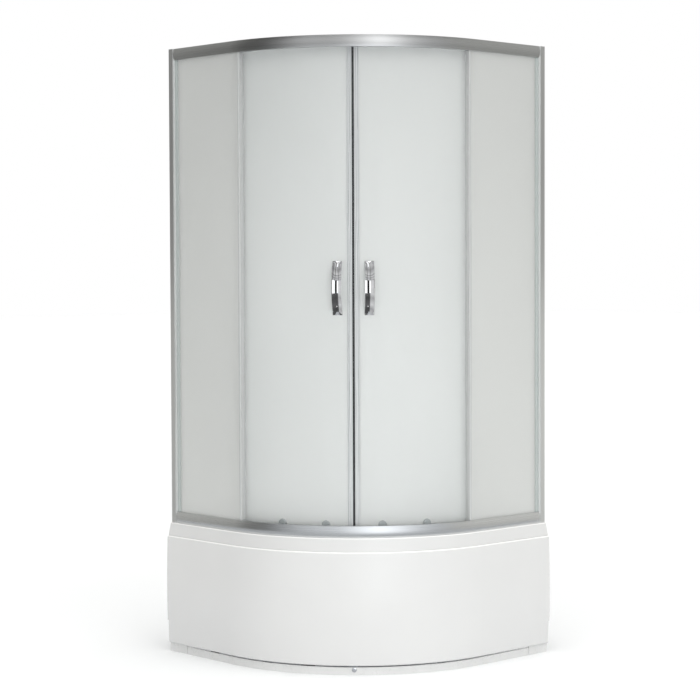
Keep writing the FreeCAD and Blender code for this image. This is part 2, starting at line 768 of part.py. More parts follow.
def front_post(line):
    """Where the rim's middle crosses a beam."""
    if line.value <= 0:
        return post_line
    return root(post_line * post_line - line * line)


def tube(name, x, y, z, open_along):
    """A square tube, open at both ends along one axis."""
    hollow = []
    for letter, (low, high) in zip("xyz", (x, y, z)):
        gap = ZERO if letter == open_along else s.beam_wall
        hollow.append((low + gap, high - gap))
    return cut(name, box(name + "_outside", x, y, z), [box(name + "_inside", *hollow)])


def foot_spots():
    spots = []
    for line in beam_lines:
        spots.append((post_back + s.foot_inset, line))
        spots.append((front_post(line) - s.foot_inset, line))
    spots.append((tie_line, (beam_lines[0] + beam_lines[1]) / 2))
    return spots


def make_support():
    beams = []
    posts = []
    half = s.beam / 2
    for i, line in enumerate(beam_lines):
        front = front_post(line)
        span = (wall + s.beam_gap, front + s.post / 2)
        beams.append(tube("beam_%d" % i, span, (line - half, line + half), (beam_base, beam_top), "x"))
        for j, x in enumerate((post_back, front)):
            sides = (x - s.post / 2, x + s.post / 2)
            breadth = (line - s.post / 2, line + s.post / 2)
            posts.append(tube("post_%d_%d" % (i, j), sides, breadth, (beam_top, rim_under), "z"))
    between = (beam_lines[0] + half, beam_lines[1] - half)
    beams.append(tube("beam_tie", (tie_line - half, tie_line + half), between, (beam_base, beam_top), "y"))
    node("support_beams", beams)
    node("support_posts", posts)


def make_feet():
    rods = []
    nuts = []
    pads = []
    for i, (x, y) in enumerate(foot_spots()):
        length = beam_base - s.foot_socket
        rods.append(cylinder("foot_rod_%d" % i, s.rod_radius, length, x, y, s.foot_socket))
        spot = (x, y, beam_base - s.nut_height)
        nuts.append(hexagon_nut("foot_nut_%d" % i, s.nut_radius, s.rod_radius, s.nut_height, spot))
        body = new_body("foot_pad_%d" % i)
        profile = [
            (ZERO, ZERO),
            (s.foot_radius, ZERO),
            (s.foot_radius, s.foot_flat),
            (s.foot_neck, s.foot_height),
            (s.rod_radius, s.foot_height),
            (s.rod_radius, s.foot_socket),
            (ZERO, s.foot_socket),
        ]
        spin(body, outline(body, body.Name + "_profile", "XZ_Plane", profile), FULL_TURN)
        pads.append(put(body, x, y, ZERO))
    node("foot_rods", rods)
    node("foot_nuts", nuts)
    node("foot_pads", pads)


# Drain

def at_drain(body):
    return put(body, drain_spot, drain_spot, ZERO)


sleeve_foot = s.bowl_floor - s.drain_sleeve_length
neck_top = floor_under - s.drain_nut_height


def make_drain():
    flange = new_body("drain_flange_body")
    flange_top = s.bowl_floor + s.drain_rim_height
    profile = [
        (s.drain_bore, sleeve_foot),
        (s.drain_sleeve, sleeve_foot),
        (s.drain_sleeve, s.bowl_floor),
        (s.drain_rim, s.bowl_floor),
        (s.drain_rim, s.bowl_floor + s.drain_rim_height / 2),
        (s.drain_rim - s.drain_rim_height / 2, flange_top),
        (s.drain_bore, flange_top),
    ]
    spin(flange, outline(flange, "drain_flange_profile", "XZ_Plane", profile), FULL_TURN)
    node("drain_flange", [at_drain(flange)])

    spot = (drain_spot, drain_spot, neck_top)
    nut = hexagon_nut("drain_nut_ring", s.drain_nut, s.drain_sleeve, s.drain_nut_height, spot)
    node("drain_nut", [nut])

    cover = new_body("drain_cover_body")
    base = flange_top + s.cover_rest
    skirt_foot = base - s.cover_skirt_depth
    profile = [
        (ZERO, base),
        (s.cover_skirt - s.cover_skirt_wall, base),
        (s.cover_skirt - s.cover_skirt_wall, skirt_foot),
        (s.cover_skirt, skirt_foot),
        (s.cover_skirt, base),
        (s.cover_radius, base),
        (s.cover_radius - s.cover_height / 2, base + s.cover_height / 2),
        (s.cover_radius / 2, base + s.cover_height),
        (ZERO, base + s.cover_height),
    ]
    spin(cover, outline(cover, "drain_cover_profile", "XZ_Plane", profile), FULL_TURN)
    lift = base + s.cover_height
    hole = circle(cover, "cover_hole", "XY_Plane", s.cover_hole_ring, ZERO, s.cover_hole, lift=lift)
    drilled = pocket(cover, hole, s.cover_height * THROUGH)
    ring = cover.newObject("PartDesign::PolarPattern", "cover_holes")
    ring.Originals = [drilled]
    ring.Axis = (origin_feature(cover, "Z_Axis"), [""])
    ring.Angle = FULL_TURN
    ring.Occurrences = COVER_HOLES
    cover.Tip = ring
    node("drain_cover", [at_drain(cover)])


def make_trap():
    body = new_body("trap_cup")
    shoulder = neck_top - s.trap_neck_height
    wide = shoulder - s.trap_shoulder
    profile = [
        (ZERO, s.trap_foot),
        (s.trap_radius - s.trap_wall, s.trap_foot),
        (s.trap_radius, s.trap_foot + s.trap_wall),
        (s.trap_radius, wide),
        (s.trap_neck, shoulder),
        (s.trap_neck, neck_top),
        (s.drain_sleeve, neck_top),
        (s.drain_sleeve, shoulder),
        (s.trap_radius - s.trap_wall, wide),
        (s.trap_radius - s.trap_wall, s.trap_foot + s.trap_wall),
        (ZERO, s.trap_foot + s.trap_wall),
    ]
    spin(body, outline(body, "trap_profile", "XZ_Plane", profile), FULL_TURN)
    at_drain(body)
    start = wall + s.waste_gap
    reach = drain_spot - start
    way = cylinder("trap_outlet", s.waste_radius, reach, start, drain_spot, s.waste_height, ALONG_X)
    node("trap_body", [cut("trap_opened", body, [way])])

    pipe = new_body("waste_pipe_body")
    side = root(s.trap_radius * s.trap_radius - s.waste_radius * s.waste_radius)
    collar_end = drain_spot - s.trap_radius - s.waste_collar_gap
    profile = [
        (start, s.waste_radius - s.waste_wall),
        (drain_spot - side + s.trap_wall, s.waste_radius - s.waste_wall),
        (drain_spot - side + s.trap_wall, s.waste_radius),
        (collar_end, s.waste_radius),
        (collar_end, s.waste_collar),
        (collar_end - s.waste_collar_length, s.waste_collar),
        (collar_end - s.waste_collar_length, s.waste_radius),
        (start, s.waste_radius),
    ]
    turned(pipe, "waste_profile", profile, s.waste_height)
    put(pipe, ZERO, drain_spot, ZERO)
    node("waste_pipe", [pipe])


# Frame

rail_start = wall + s.stile_front
rail_length = -rail_start
slot_outer = face - s.fixed_inset + s.slot_play
slot_inner = face - s.fixed_inset - s.glass - s.slot_play


def rail_section(edge, upward):
    """A rail's section; edge is the height of its glass slot, and the rail lies above or below it."""
    def at(inset, step):
        return (face - inset, edge + step if upward else edge - step)

    def at_radius(radius, step):
        return (radius, edge + step if upward else edge - step)

    far = s.rail_height
    shelf = far - s.rail_wall
    inside = s.rail_bulge + s.rail_wall
    bow = bow_radius(s.rail_height, s.rail_bulge)
    inner_bow = bow_radius(s.rail_height - s.rail_wall * 2, s.rail_bulge)
    return [
        at(s.rail_bulge, ZERO) + (bow, upward),
        at(s.rail_bulge, far),
        at(s.rail_reach, far),
        at(s.rail_reach, shelf),
        at(s.rail_web, shelf),
        at(s.rail_web, ZERO),
        at_radius(slot_inner, ZERO),
        at_radius(slot_inner, s.rail_wall),
        at(s.rail_web - s.rail_wall, s.rail_wall),
        at(s.rail_web - s.rail_wall, shelf),
        at(inside, shelf) + (inner_bow, not upward),
        at(inside, s.rail_wall),
        at_radius(slot_outer, s.rail_wall),
        at_radius(slot_outer, ZERO),
    ]


def make_rails():
    node("top_rail", [along_front("top_rail_body", rail_section(upper_edge, True), rail_length)])
    node("bottom_rail", [along_front("bottom_rail_body", rail_section(lower_edge, False), rail_length)])


def track_section(edge, upward):
    """A roller track's section: a flange on the rail's web, a floor and a bead for the wheels."""
    def at(inset, step):
        return (face - inset, edge + step if upward else edge - step)

    floor_top = s.track_step + s.track_wall
    bead_back = s.bead_inset + s.track_wall / 2
    bead_front = s.bead_inset - s.track_wall / 2
    flange = s.rail_web + s.track_wall
    flange_end = s.track_step + s.track_flange
    return [
        at(s.rail_web, s.track_step),
        at(bead_back, s.track_step),
        at(bead_back, bead_top),
        at(bead_front, bead_top),
        at(bead_front, floor_top),
        at(flange, floor_top),
        at(flange, flange_end),
        at(s.rail_web, flange_end),
    ]


def make_tracks():
    for name, edge, upward in (("top", upper_edge, True), ("bottom", lower_edge, False)):
        body = new_body(name + "_track_body")
        sketch = outline(body, name + "_track_section", "XZ_Plane", track_section(edge, upward))
        spin(body, sketch, track_half * 2, both_ways=True)
        turn_to(body, as_dim(HALF_RIGHT_ANGLE))
        node(name + "_roller_track", [body])


def make_stops():
    """Rubber blocks on the tracks, straddling the bead."""
    blocks = []
    outer = face - s.rail_web - s.track_wall
    inner = face - s.bead_inset - s.wheel_width / 2
    bead_outer = face - s.bead_inset + s.track_wall / 2
    bead_inner = face - s.bead_inset - s.track_wall / 2
    floor_top = s.track_step + s.track_wall
    stop_end = stop_start + s.stop_angle
    for name, edge, sign in (("top", upper_edge, 1), ("bottom", lower_edge, -1)):
        low, high = in_order(edge + floor_top * sign, edge + (floor_top + s.stop_height) * sign)
        block = ring_part(name + "_stop_block", inner, outer, low, high, stop_start, stop_end)
        low, high = in_order(edge + floor_top * sign, edge + bead_top * sign)
        groove = ring_part(
            name + "_stop_groove", bead_inner, bead_outer, low, high,
            stop_start - s.stop_angle, stop_end + s.stop_angle,
        )
        blocks.append(cut(name + "_stop", block, [groove]))
    node("door_stops", on_both_sides(blocks))


def wall_hole_heights():
    middle = s.tray_height + s.frame_height / 2
    for spacing in (s.wall_hole_outer, s.wall_hole_inner):
        yield middle - spacing / 2
        yield middle + spacing / 2


def stile_screw_heights():
    middle = s.tray_height + s.frame_height / 2
    return [middle + s.stile_screw_spacing * step for step in (-1, 0, 1)]


def make_uprights():
    outer = face - s.profile_inset
    inner = outer - s.profile_width
    hollow_outer = outer - s.profile_wall
    hollow_inner = inner + s.profile_wall
    leg_end = wall + s.profile_leg
    web = wall + s.profile_wall
    plan = [
        (inner, wall),
        (outer, wall),
        (outer, leg_end),
        (hollow_outer, leg_end),
        (hollow_outer, web),
        (hollow_inner, web),
        (hollow_inner, leg_end),
        (inner, leg_end),
    ]
    channel = new_body("wall_profile_body")
    sketch = outline(channel, "wall_profile_plan", "XY_Plane", plan, lift=s.tray_height)
    pad(channel, sketch, s.frame_height)

    stile_outer = hollow_outer - s.stile_play
    stile_inner = hollow_inner + s.stile_play
    back = wall + s.stile_back
    front = wall + s.stile_front
    plan = [
        (slot_outer, front),
        (slot_outer, front - s.profile_wall),
        (stile_outer - s.profile_wall, front - s.profile_wall),
        (stile_outer - s.profile_wall, back + s.profile_wall),
        (stile_inner + s.profile_wall, back + s.profile_wall),
        (stile_inner + s.profile_wall, front - s.profile_wall),
        (slot_inner, front - s.profile_wall),
        (slot_inner, front),
        (stile_inner, front),
        (stile_inner, back),
        (stile_outer, back),
        (stile_outer, front),
    ]
    stile = new_body("stile_body")
    pad(stile, outline(stile, "stile_plan", "XY_Plane", plan, lift=s.tray_height), s.frame_height)

    middle = (outer + inner) / 2
    start = wall - s.profile_wall
    length = s.profile_wall * THROUGH
    drills = [
        cylinder("wall_drill_%d" % i, s.wall_hole, length, middle, start, z, ALONG_Y)
        for i, z in enumerate(wall_hole_heights())
    ]
    screws = []
    side_drills = []
    place = wall + s.stile_screw_place
    for i, z in enumerate(stile_screw_heights()):
        side_drills.append(
            cylinder("side_drill_%d" % i, s.screw_radius, s.stile_screw_length, inner, place, z, ALONG_X)
        )
        body = new_body("stile_screw_%d" % i)
        profile = [
            (inner - s.screw_head_height, ZERO),
            (inner + s.stile_screw_length, ZERO),
            (inner + s.stile_screw_length, s.screw_radius),
            (inner, s.screw_radius),
            (inner, s.screw_head),
            (inner - s.screw_head_height / 2, s.screw_head),
            (inner - s.screw_head_height, s.screw_head / 2),
        ]
        turned(body, body.Name + "_profile", profile, z)
        screws.append(put(body, ZERO, place, ZERO))
    pair("wall_profile", [cut("wall_profile_drilled", channel, drills + side_drills)])
    pair("stile", [cut("stile_drilled", stile, side_drills)])
    node("stile_screws", on_both_sides(screws))


def make_rail_joints():
    """Plugs in the rails' ends, and the screws that draw them to the stiles."""
    plugs = []
    screws = []
    outer = face - s.plug_inset
    inner = face - s.rail_web + s.rail_wall
    centre = face - s.rail_screw_inset
    ends = (rail_start, rail_start + s.plug_length)
    seat = rail_start - s.profile_wall
    for name, edge, sign in (("top", upper_edge, 1), ("bottom", lower_edge, -1)):
        heights = in_order(edge + s.plug_step * sign, edge + (s.rail_height - s.rail_wall) * sign)
        block = box(name + "_plug_block", (inner, outer), ends, heights)
        spot = (centre, seat, edge + s.rail_screw_step * sign)
        bore = cylinder(name + "_plug_bore", s.screw_radius, s.rail_screw_length, *spot, ALONG_Y)
        plugs.append(cut(name + "_plug", block, [bore]))
        shank = cylinder(name + "_rail_screw_shank", s.screw_radius, s.rail_screw_length, *spot, ALONG_Y)
        head_spot = (centre, seat - s.screw_head_height, spot[2])
        head = cylinder(name + "_rail_screw_head", s.screw_head, s.screw_head_height, *head_spot, ALONG_Y)
        screw = doc.addObject("Part::Fuse", name + "_rail_screw")
        screw.Base = head
        screw.Tool = shank
        screws.append(screw)
    node("rail_end_plugs", on_both_sides(plugs))
    node("rail_screws", on_both_sides(screws))


# Fixed panes

def make_fixed_panes():
    outer = face - s.fixed_inset
    inner = outer - s.glass
    pane = box(
        "fixed_pane", (inner, outer), (rail_start - s.stile_bite, s.fixed_past),
        (lower_edge - s.glass_bite, upper_edge + s.glass_bite),
    )
    pair("fixed_glass", [pane])
    heights = (lower_edge + s.end_gap, upper_edge - s.end_gap)
    strip = box(
        "gasket_strip", (outer, outer + s.gasket_thick), (rail_start, rail_start + s.gasket_width), heights
    )
    pair("glazing_gasket", [strip])

    seal = new_body("fixed_seal_body")
    start = s.fixed_past - s.seal_cover
    nose = s.fixed_past + s.seal_nose
    plan = [
        (inner - s.seal_wall, start),
        (inner, start),
        (inner, s.fixed_past),
        (outer, s.fixed_past),
        (outer, start),
        (outer + s.seal_wall, start),
        (outer + s.seal_wall, nose - s.seal_wall),
        (outer, nose),
        (inner - s.seal_wall, nose),
    ]
    pad(seal, outline(seal, "fixed_seal_plan", "XY_Plane", plan, lift=heights[0]), heights[1] - heights[0])
    lip_end = spacer_face + s.seal_clear
    lip = [
        (lip_end, nose - s.seal_lip_lean - s.seal_lip),
        (lip_end, nose - s.seal_lip_lean),
        (inner - s.seal_wall, nose),
        (inner - s.seal_wall, nose - s.seal_lip),
    ]
    pad(seal, outline(seal, "fixed_seal_lip", "XY_Plane", lip, lift=heights[0]), heights[1] - heights[0])
    pair("fixed_seal", [seal])


# Doors

def make_door_glass():
    start = arc_degrees(s.meeting_nose, door_outer)
    pane = ring_part("door_pane", door_inner, door_outer, door_foot, door_top, start, s.door_edge_angle)
    drills = []
    for i, angle in enumerate((s.roller_near, s.roller_far)):
        drills.append(radial_hole("upper_drill_%d" % i, s.glass_hole, upper_axle, angle))
        drills.append(radial_hole("lower_drill_%d" % i, s.glass_hole, cap_height, angle))
    for i, rise in enumerate((-handle_hole_rise, handle_hole_rise)):
        height = s.handle_height + rise
        drills.append(radial_hole("handle_drill_%d" % i, s.handle_hole, height, handle_angle))
    pair("door_glass", [cut("door_pane_drilled", pane, drills)])


def make_door_seals():
    low = door_inner - s.seal_wall
    high = door_outer + s.seal_wall
    glass_start = arc_degrees(s.meeting_nose, door_outer)
    near = arc_degrees(s.seam_gap, door_outer)
    bar = arc_degrees(s.seam_gap + s.magnet_width, door_outer)
    far = arc_degrees(s.meeting_seal, door_outer)
    rear_start = s.door_edge_angle - arc_degrees(s.rear_seal - s.rear_seal_nose, door_outer)
    rear_end = s.door_edge_angle + arc_degrees(s.rear_seal_nose, door_outer)
    edge = s.door_edge_angle
    before_rear = rear_start - (rear_end - rear_start)
    clip = ring_part("meeting_clip", low, high, door_foot, door_top, bar, far)
    room = ring_part("meeting_room", door_inner, door_outer, door_foot, door_top, glass_start, far * 2)
    pair("meeting_seal", [cut("meeting_seal_clip", clip, [room])])
    magnet = ring_part("magnet_bar_body", low, high, door_foot, door_top, near, bar)
    pair("magnet_bar", [magnet])
    clip = ring_part("rear_clip", low, high, door_foot, door_top, rear_start, rear_end)
    room = ring_part("rear_room", door_inner, door_outer, door_foot, door_top, before_rear, edge)
    pair("rear_seal", [cut("rear_seal_clip", clip, [room])])


def inner_button(radius, seat):
    """The part of a profile that forms a round button on the inside of a door."""
    back = seat - s.button_depth
    return [
        (seat, radius),
        (back + s.bevel, radius),
        (back, radius - s.bevel),
        (back, ZERO),
    ]


button_face = door_inner - button_seat
head_face = face - s.bead_inset + s.wheel_width / 2 - s.side_gap
head_back = head_face - s.axle_head_height


def axle_points(back):
    """The part of a profile that forms the axle and its head, out from a face at back."""
    return [
        (head_face, ZERO),
        (head_face, s.axle_head),
        (head_back, s.axle_head),
        (head_back, s.axle_radius),
        (back, s.axle_radius),
    ]


def make_upper_roller(number, angle):
    body = new_body("upper_roller_%d" % number)
    profile = axle_points(spacer_face) + [
        (spacer_face, s.roller_spacer),
        (door_outer, s.roller_spacer),
        (door_outer, s.shank_radius),
        (button_face, s.shank_radius),
    ] + inner_button(s.roller_button, button_face)
    turned(body, body.Name + "_profile", profile, upper_axle)
    return turn_to(body, left_of_middle(angle))


def make_lower_roller(number, angle):
    body = new_body("lower_roller_%d" % number)
    profile = [
        (spacer_face, ZERO),
        (spacer_face, s.roller_cap - s.bevel * 2),
        (spacer_face - s.bevel, s.roller_cap - s.bevel / 2),
        (spacer_face - s.bevel * 2, s.roller_cap),
        (door_outer, s.roller_cap),
        (door_outer, s.shank_radius),
        (button_face, s.shank_radius),
    ] + inner_button(s.roller_button, button_face)
    turned(body, body.Name + "_profile", profile, cap_height)
    half = s.roller_arm / 2
    arm = [
        (-half, cap_height),
        (-half, lower_axle - half / 2),
        (-half / 2, lower_axle - half),
        (half / 2, lower_axle - half),
        (half, lower_axle - half / 2),
        (half, cap_height),
    ]
    sketch = outline(body, body.Name + "_arm", "YZ_Plane", arm, lift=door_outer)
    pad(body, sketch, spacer_face - door_outer)
    profile = axle_points(spacer_face - s.bevel) + [(spacer_face - s.bevel, ZERO)]
    turned(body, body.Name + "_axle", profile, lower_axle)
    return turn_to(body, left_of_middle(angle))


def make_wheel(name, angle, axle):
    body = new_body(name)
    outer = face - s.bead_inset + s.wheel_width / 2
    inner = face - s.bead_inset - s.wheel_width / 2
    middle = face - s.bead_inset
    half = s.track_wall / 2 + s.groove_play
    bore = s.axle_radius + s.axle_play
    well = s.axle_head + s.side_gap
    well_floor = head_back - s.side_gap
    profile = [
        (inner, bore),
        (inner, s.wheel_radius),
        (middle - half - s.groove_flare, s.wheel_radius),
        (middle - half, groove_radius),
        (middle + half, groove_radius),
        (middle + half + s.groove_flare, s.wheel_radius),
        (outer, s.wheel_radius),
        (outer, well),
        (well_floor, well),
        (well_floor, bore),
    ]
    turned(body, name + "_profile", profile, axle)
    return turn_to(body, left_of_middle(angle))


def make_rollers():
    angles = (("near", s.roller_near), ("far", s.roller_far))
    pair("upper_rollers", [make_upper_roller(i, angle) for i, (_, angle) in enumerate(angles)])
    pair("lower_rollers", [make_lower_roller(i, angle) for i, (_, angle) in enumerate(angles)])
    for place, angle in angles:
        pair("upper_wheel_" + place, [make_wheel("upper_wheel_body_" + place, angle, upper_axle)])
        pair("lower_wheel_" + place, [make_wheel("lower_wheel_body_" + place, angle, lower_axle)])


def make_handle():
    base = door_outer + s.washer
    half = s.handle_length / 2
    opening = half - s.handle_foot
    bow = bow_radius(s.handle_length, s.handle_reach - s.washer)
    inner_bow = bow_radius(opening * 2, s.handle_reach - s.washer - s.handle_thick)
    body = new_body("handle_bow")
    profile = [
        (base, -half, bow, True),
        (base, half),
        (base, opening, inner_bow, False),
        (base, -opening),
    ]
    sketch = outline(body, "handle_profile", "XZ_Plane", profile, rise=s.handle_height)
    pad(body, sketch, s.handle_width, both_ways=True)

    def long_edge(edge):
        return edge.BoundBox.ZLength > opening.value and edge.BoundBox.YLength < SAME

    fillet(body, "handle_edges", s.handle_round, long_edge)
    turn_to(body, left_of_middle(handle_angle))
    drills = []
    fixings = []
    seat = s.handle_button * s.handle_button / (door_inner * 2)
    tip = base + s.handle_screw_bite
    for i, rise in enumerate((-handle_hole_rise, handle_hole_rise)):
        z = s.handle_height + rise
        drill = cylinder("handle_bore_%d" % i, s.handle_screw, s.handle_screw_bite, base, ZERO, z, ALONG_X)
        drills.append(group(drill.Name + "_turned", [drill], left_of_middle(handle_angle)))
        screw = new_body("handle_screw_%d" % i)
        profile = [
            (tip, ZERO),
            (tip, s.handle_screw),
            (door_inner - seat, s.handle_screw),
        ] + inner_button(s.handle_button, door_inner - seat)
        turned(screw, screw.Name + "_profile", profile, z)
        fixings.append(turn_to(screw, left_of_middle(handle_angle)))
        ring = new_body("handle_washer_%d" % i)
        profile = rectangle(door_outer, base, s.handle_screw, s.washer_radius)
        turned(ring, ring.Name + "_profile", profile, z)
        fixings.append(turn_to(ring, left_of_middle(handle_angle)))
    pair("handle", [cut("handle_drilled", body, drills)])
    pair("handle_fixings", fixings)


# Build every piece

make_tray_shell()
make_apron()
make_plinth()
make_apron_clips()
make_support()
make_feet()
make_drain()
make_trap()
make_rails()
make_tracks()
make_stops()
make_uprights()
make_rail_joints()
make_fixed_panes()
make_door_glass()
make_door_seals()
make_rollers()
make_handle()
doc.recompute()

# Check and write

for thing in doc.Objects:
    if "Invalid" in thing.State or "Error" in thing.State:
        raise SystemExit("%s did not build: %s" % (thing.Name, thing.State))
os.makedirs("parts", exist_ok=True)
for thing in nodes:
    if thing.Shape.isNull() or not thing.Shape.isValid():
        raise SystemExit(thing.Label + " has no sound shape")
    thing.Shape.exportStep(os.path.join("parts", thing.Label + ".step"))
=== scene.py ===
import json
import math

import bpy
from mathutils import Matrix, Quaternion, Vector


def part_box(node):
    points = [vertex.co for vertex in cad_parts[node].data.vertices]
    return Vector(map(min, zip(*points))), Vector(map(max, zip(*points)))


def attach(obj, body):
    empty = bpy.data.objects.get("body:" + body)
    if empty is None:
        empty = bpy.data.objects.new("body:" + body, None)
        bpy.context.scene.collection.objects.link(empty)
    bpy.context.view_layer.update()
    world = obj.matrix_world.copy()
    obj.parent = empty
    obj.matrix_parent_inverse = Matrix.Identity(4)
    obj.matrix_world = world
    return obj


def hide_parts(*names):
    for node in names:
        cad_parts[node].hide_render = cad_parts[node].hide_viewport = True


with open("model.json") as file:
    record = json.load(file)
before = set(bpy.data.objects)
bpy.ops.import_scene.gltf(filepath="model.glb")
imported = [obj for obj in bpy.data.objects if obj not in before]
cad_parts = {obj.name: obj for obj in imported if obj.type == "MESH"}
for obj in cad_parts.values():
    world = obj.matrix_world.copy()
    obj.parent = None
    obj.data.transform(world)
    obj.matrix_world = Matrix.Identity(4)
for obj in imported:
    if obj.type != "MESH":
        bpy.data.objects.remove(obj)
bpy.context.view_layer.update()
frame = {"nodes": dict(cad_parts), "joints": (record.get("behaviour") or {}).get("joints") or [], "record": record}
nodes = frame["nodes"]

SIDES = ("left", "right")

# Foot of the upright line that the doors roll about and the curved front is drawn about, in metres
door_joint = next(joint for joint in frame["joints"] if joint["name"] == "left_door_roll")
FRONT_CENTRE = Vector((door_joint["pos_m"][0], door_joint["pos_m"][1], 0.0))


def placed(name, data):
    """Adds an object with this data to the scene."""
    thing = bpy.data.objects.new(name, data)
    bpy.context.scene.collection.objects.link(thing)
    return thing


# Node helpers

# Places of the sockets that a colour mix uses
MIX_SHARE = 0
MIX_FIRST_COLOUR = 6
MIX_SECOND_COLOUR = 7
MIX_COLOUR = 2

# Length of one band of the wave texture at a scale of one
WAVE_LENGTH = math.pi / 10


class Paint:
    """A material under construction: its node tree, its main shader and its places on the object."""

    def __init__(self, name, colour, roughness, metallic=0.0):
        self.material = bpy.data.materials.new(name)
        self.material.use_nodes = True
        self.nodes = self.material.node_tree.nodes
        self.links = self.material.node_tree.links
        self.shader = self.nodes["Principled BSDF"]
        self.set("Base Color", (*colour, 1.0))
        self.set("Roughness", roughness)
        self.set("Metallic", metallic)
        self.place = self.nodes.new("ShaderNodeTexCoord").outputs["Object"]

    def set(self, socket, value):
        self.shader.inputs[socket].default_value = value

    def stretched(self, scale):
        """Coordinates with their own scale along each axis, in cycles per metre."""
        mapping = self.nodes.new("ShaderNodeMapping")
        mapping.inputs["Scale"].default_value = scale
        self.links.new(self.place, mapping.inputs["Vector"])
        return mapping.outputs["Vector"]

    def noise(self, scale, detail=3.0, roughness=0.55, distortion=0.0):
        texture = self.nodes.new("ShaderNodeTexNoise")
        texture.inputs["Scale"].default_value = 1.0
        texture.inputs["Detail"].default_value = detail
        texture.inputs["Roughness"].default_value = roughness
        texture.inputs["Distortion"].default_value = distortion
        self.links.new(self.stretched(scale), texture.inputs["Vector"])
        return texture.outputs["Fac"]

    def cells(self, scale):
        texture = self.nodes.new("ShaderNodeTexVoronoi")
        texture.inputs["Scale"].default_value = 1.0
        self.links.new(self.stretched(scale), texture.inputs["Vector"])
        return texture.outputs["Color"]

    def bands(self, pitch):
        """Level bands up the object, this many metres apart."""
        texture = self.nodes.new("ShaderNodeTexWave")
        texture.bands_direction = "Z"
        texture.inputs["Scale"].default_value = WAVE_LENGTH / pitch
        self.links.new(self.place, texture.inputs["Vector"])
        return texture.outputs["Fac"]

    def between(self, value, low, high, start=0.3, end=0.7):
        """Maps a value that runs from start to end onto numbers from low to high."""
        node = self.nodes.new("ShaderNodeMapRange")
        node.inputs["From Min"].default_value = start
        node.inputs["From Max"].default_value = end
        node.inputs["To Min"].default_value = low
        node.inputs["To Max"].default_value = high
        self.links.new(value, node.inputs["Value"])
        return node.outputs["Result"]

    def colours(self, value, low, high, start=0.3, end=0.7):
        """Maps a value that runs from start to end onto colours from low to high."""
        node = self.nodes.new("ShaderNodeValToRGB")
        node.color_ramp.elements[0].position = start
        node.color_ramp.elements[1].position = end
        node.color_ramp.elements[0].color = (*low, 1.0)
        node.color_ramp.elements[1].color = (*high, 1.0)
        self.links.new(value, node.inputs["Fac"])
        return node.outputs["Color"]

    def upward(self, start, end):
        """How far a surface looks upwards: 0 up to start and 1 from end, by its normal's upright part."""
        axes = self.nodes.new("ShaderNodeSeparateXYZ")
        normal = self.nodes.new("ShaderNodeNewGeometry").outputs["Normal"]
        self.links.new(normal, axes.inputs["Vector"])
        return self.between(axes.outputs["Z"], 0.0, 1.0, start, end)

    def mixed(self, share, colour, other):
        """Goes from a colour output to another, fixed colour as the share goes from 0 to 1."""
        node = self.nodes.new("ShaderNodeMix")
        node.data_type = "RGBA"
        node.inputs[MIX_SECOND_COLOUR].default_value = (*other, 1.0)
        self.links.new(share, node.inputs[MIX_SHARE])
        self.links.new(colour, node.inputs[MIX_FIRST_COLOUR])
        return node.outputs[MIX_COLOUR]

    def feed(self, socket, value):
        self.links.new(value, self.shader.inputs[socket])

    def bump(self, height, strength, distance):
        """Adds relief of this depth, in metres, on top of any relief that is there."""
        node = self.nodes.new("ShaderNodeBump")
        node.inputs["Strength"].default_value = strength
        node.inputs["Distance"].default_value = distance
        self.links.new(height, node.inputs["Height"])
        previous = self.shader.inputs["Normal"]
        if previous.is_linked:
            self.links.new(previous.links[0].from_socket, node.inputs["Normal"])
        self.links.new(node.outputs["Normal"], previous)


def even(scale):
    """The same scale along each axis."""
    return (scale, scale, scale)


# Materials

# Scales of the draw lines on level rails, on the tracks behind them, on uprights and on vinyl strips
RAIL_LINES = (2.0, 2.0, 5200.0)
TRACK_LINES = (4.0, 4.0, 1200.0)
UPRIGHT_LINES = (3200.0, 3200.0, 3.0)
STRIP_LINES = (700.0, 700.0, 3.0)

# The white of the painted highlight on the acrylic's faces that look upwards
PAINTED_UPWARD_HIGHLIGHT = (0.95, 0.952, 0.95)

# Pitch of the thread on the foot rods, in metres
THREAD_PITCH = 0.00175


def acrylic(name, bright, dim):
    """White moulded acrylic: a glossy skin with a faint waviness, and a painted highlight that whitens faces that
    look upwards.
    """
    paint = Paint(name, bright, roughness=0.18)
    paint.set("IOR", 1.49)
    paint.set("Coat Weight", 0.35)
    paint.set("Coat Roughness", 0.06)
    skin = paint.colours(paint.noise(even(3.0)), dim, bright)
    # Painted highlight: faces whiten as they turn upwards, as if lit from above
    edges = paint.upward(start=0.3, end=0.65)
    paint.feed("Base Color", paint.mixed(edges, skin, PAINTED_UPWARD_HIGHLIGHT))
    paint.feed("Roughness", paint.between(paint.noise(even(24.0), detail=4.0), 0.14, 0.26))
    paint.bump(paint.noise(even(14.0), detail=1.0), strength=0.12, distance=0.0012)
    paint.bump(paint.noise(even(900.0), detail=2.0), strength=0.05, distance=0.0001)
    return paint.material


def moulded(name, bright, dim, roughness, grain):
    """Moulded plastic with a fine grain of this scale."""
    paint = Paint(name, bright, roughness)
    paint.set("IOR", 1.47)
    paint.feed("Base Color", paint.colours(paint.noise(even(18.0)), dim, bright))
    paint.feed("Roughness", paint.between(paint.noise(even(120.0)), roughness - 0.08, roughness + 0.1))
    paint.bump(paint.noise(even(grain), detail=2.0), strength=0.25, distance=0.00012)
    return paint.material


def drawn_aluminium(name, bright, dim, along, roughness, metallic=1.0):
    """Satin anodised extrusion, with fine draw lines; along holds the scale of the lines on each axis."""
    paint = Paint(name, bright, roughness, metallic)
    lines = paint.noise(along, detail=2.0, roughness=0.6)
    paint.feed("Base Color", paint.colours(lines, dim, bright))
    paint.feed("Roughness", paint.between(lines, roughness - 0.06, roughness + 0.08))
    paint.bump(lines, strength=0.08, distance=0.00002)
    return paint.material


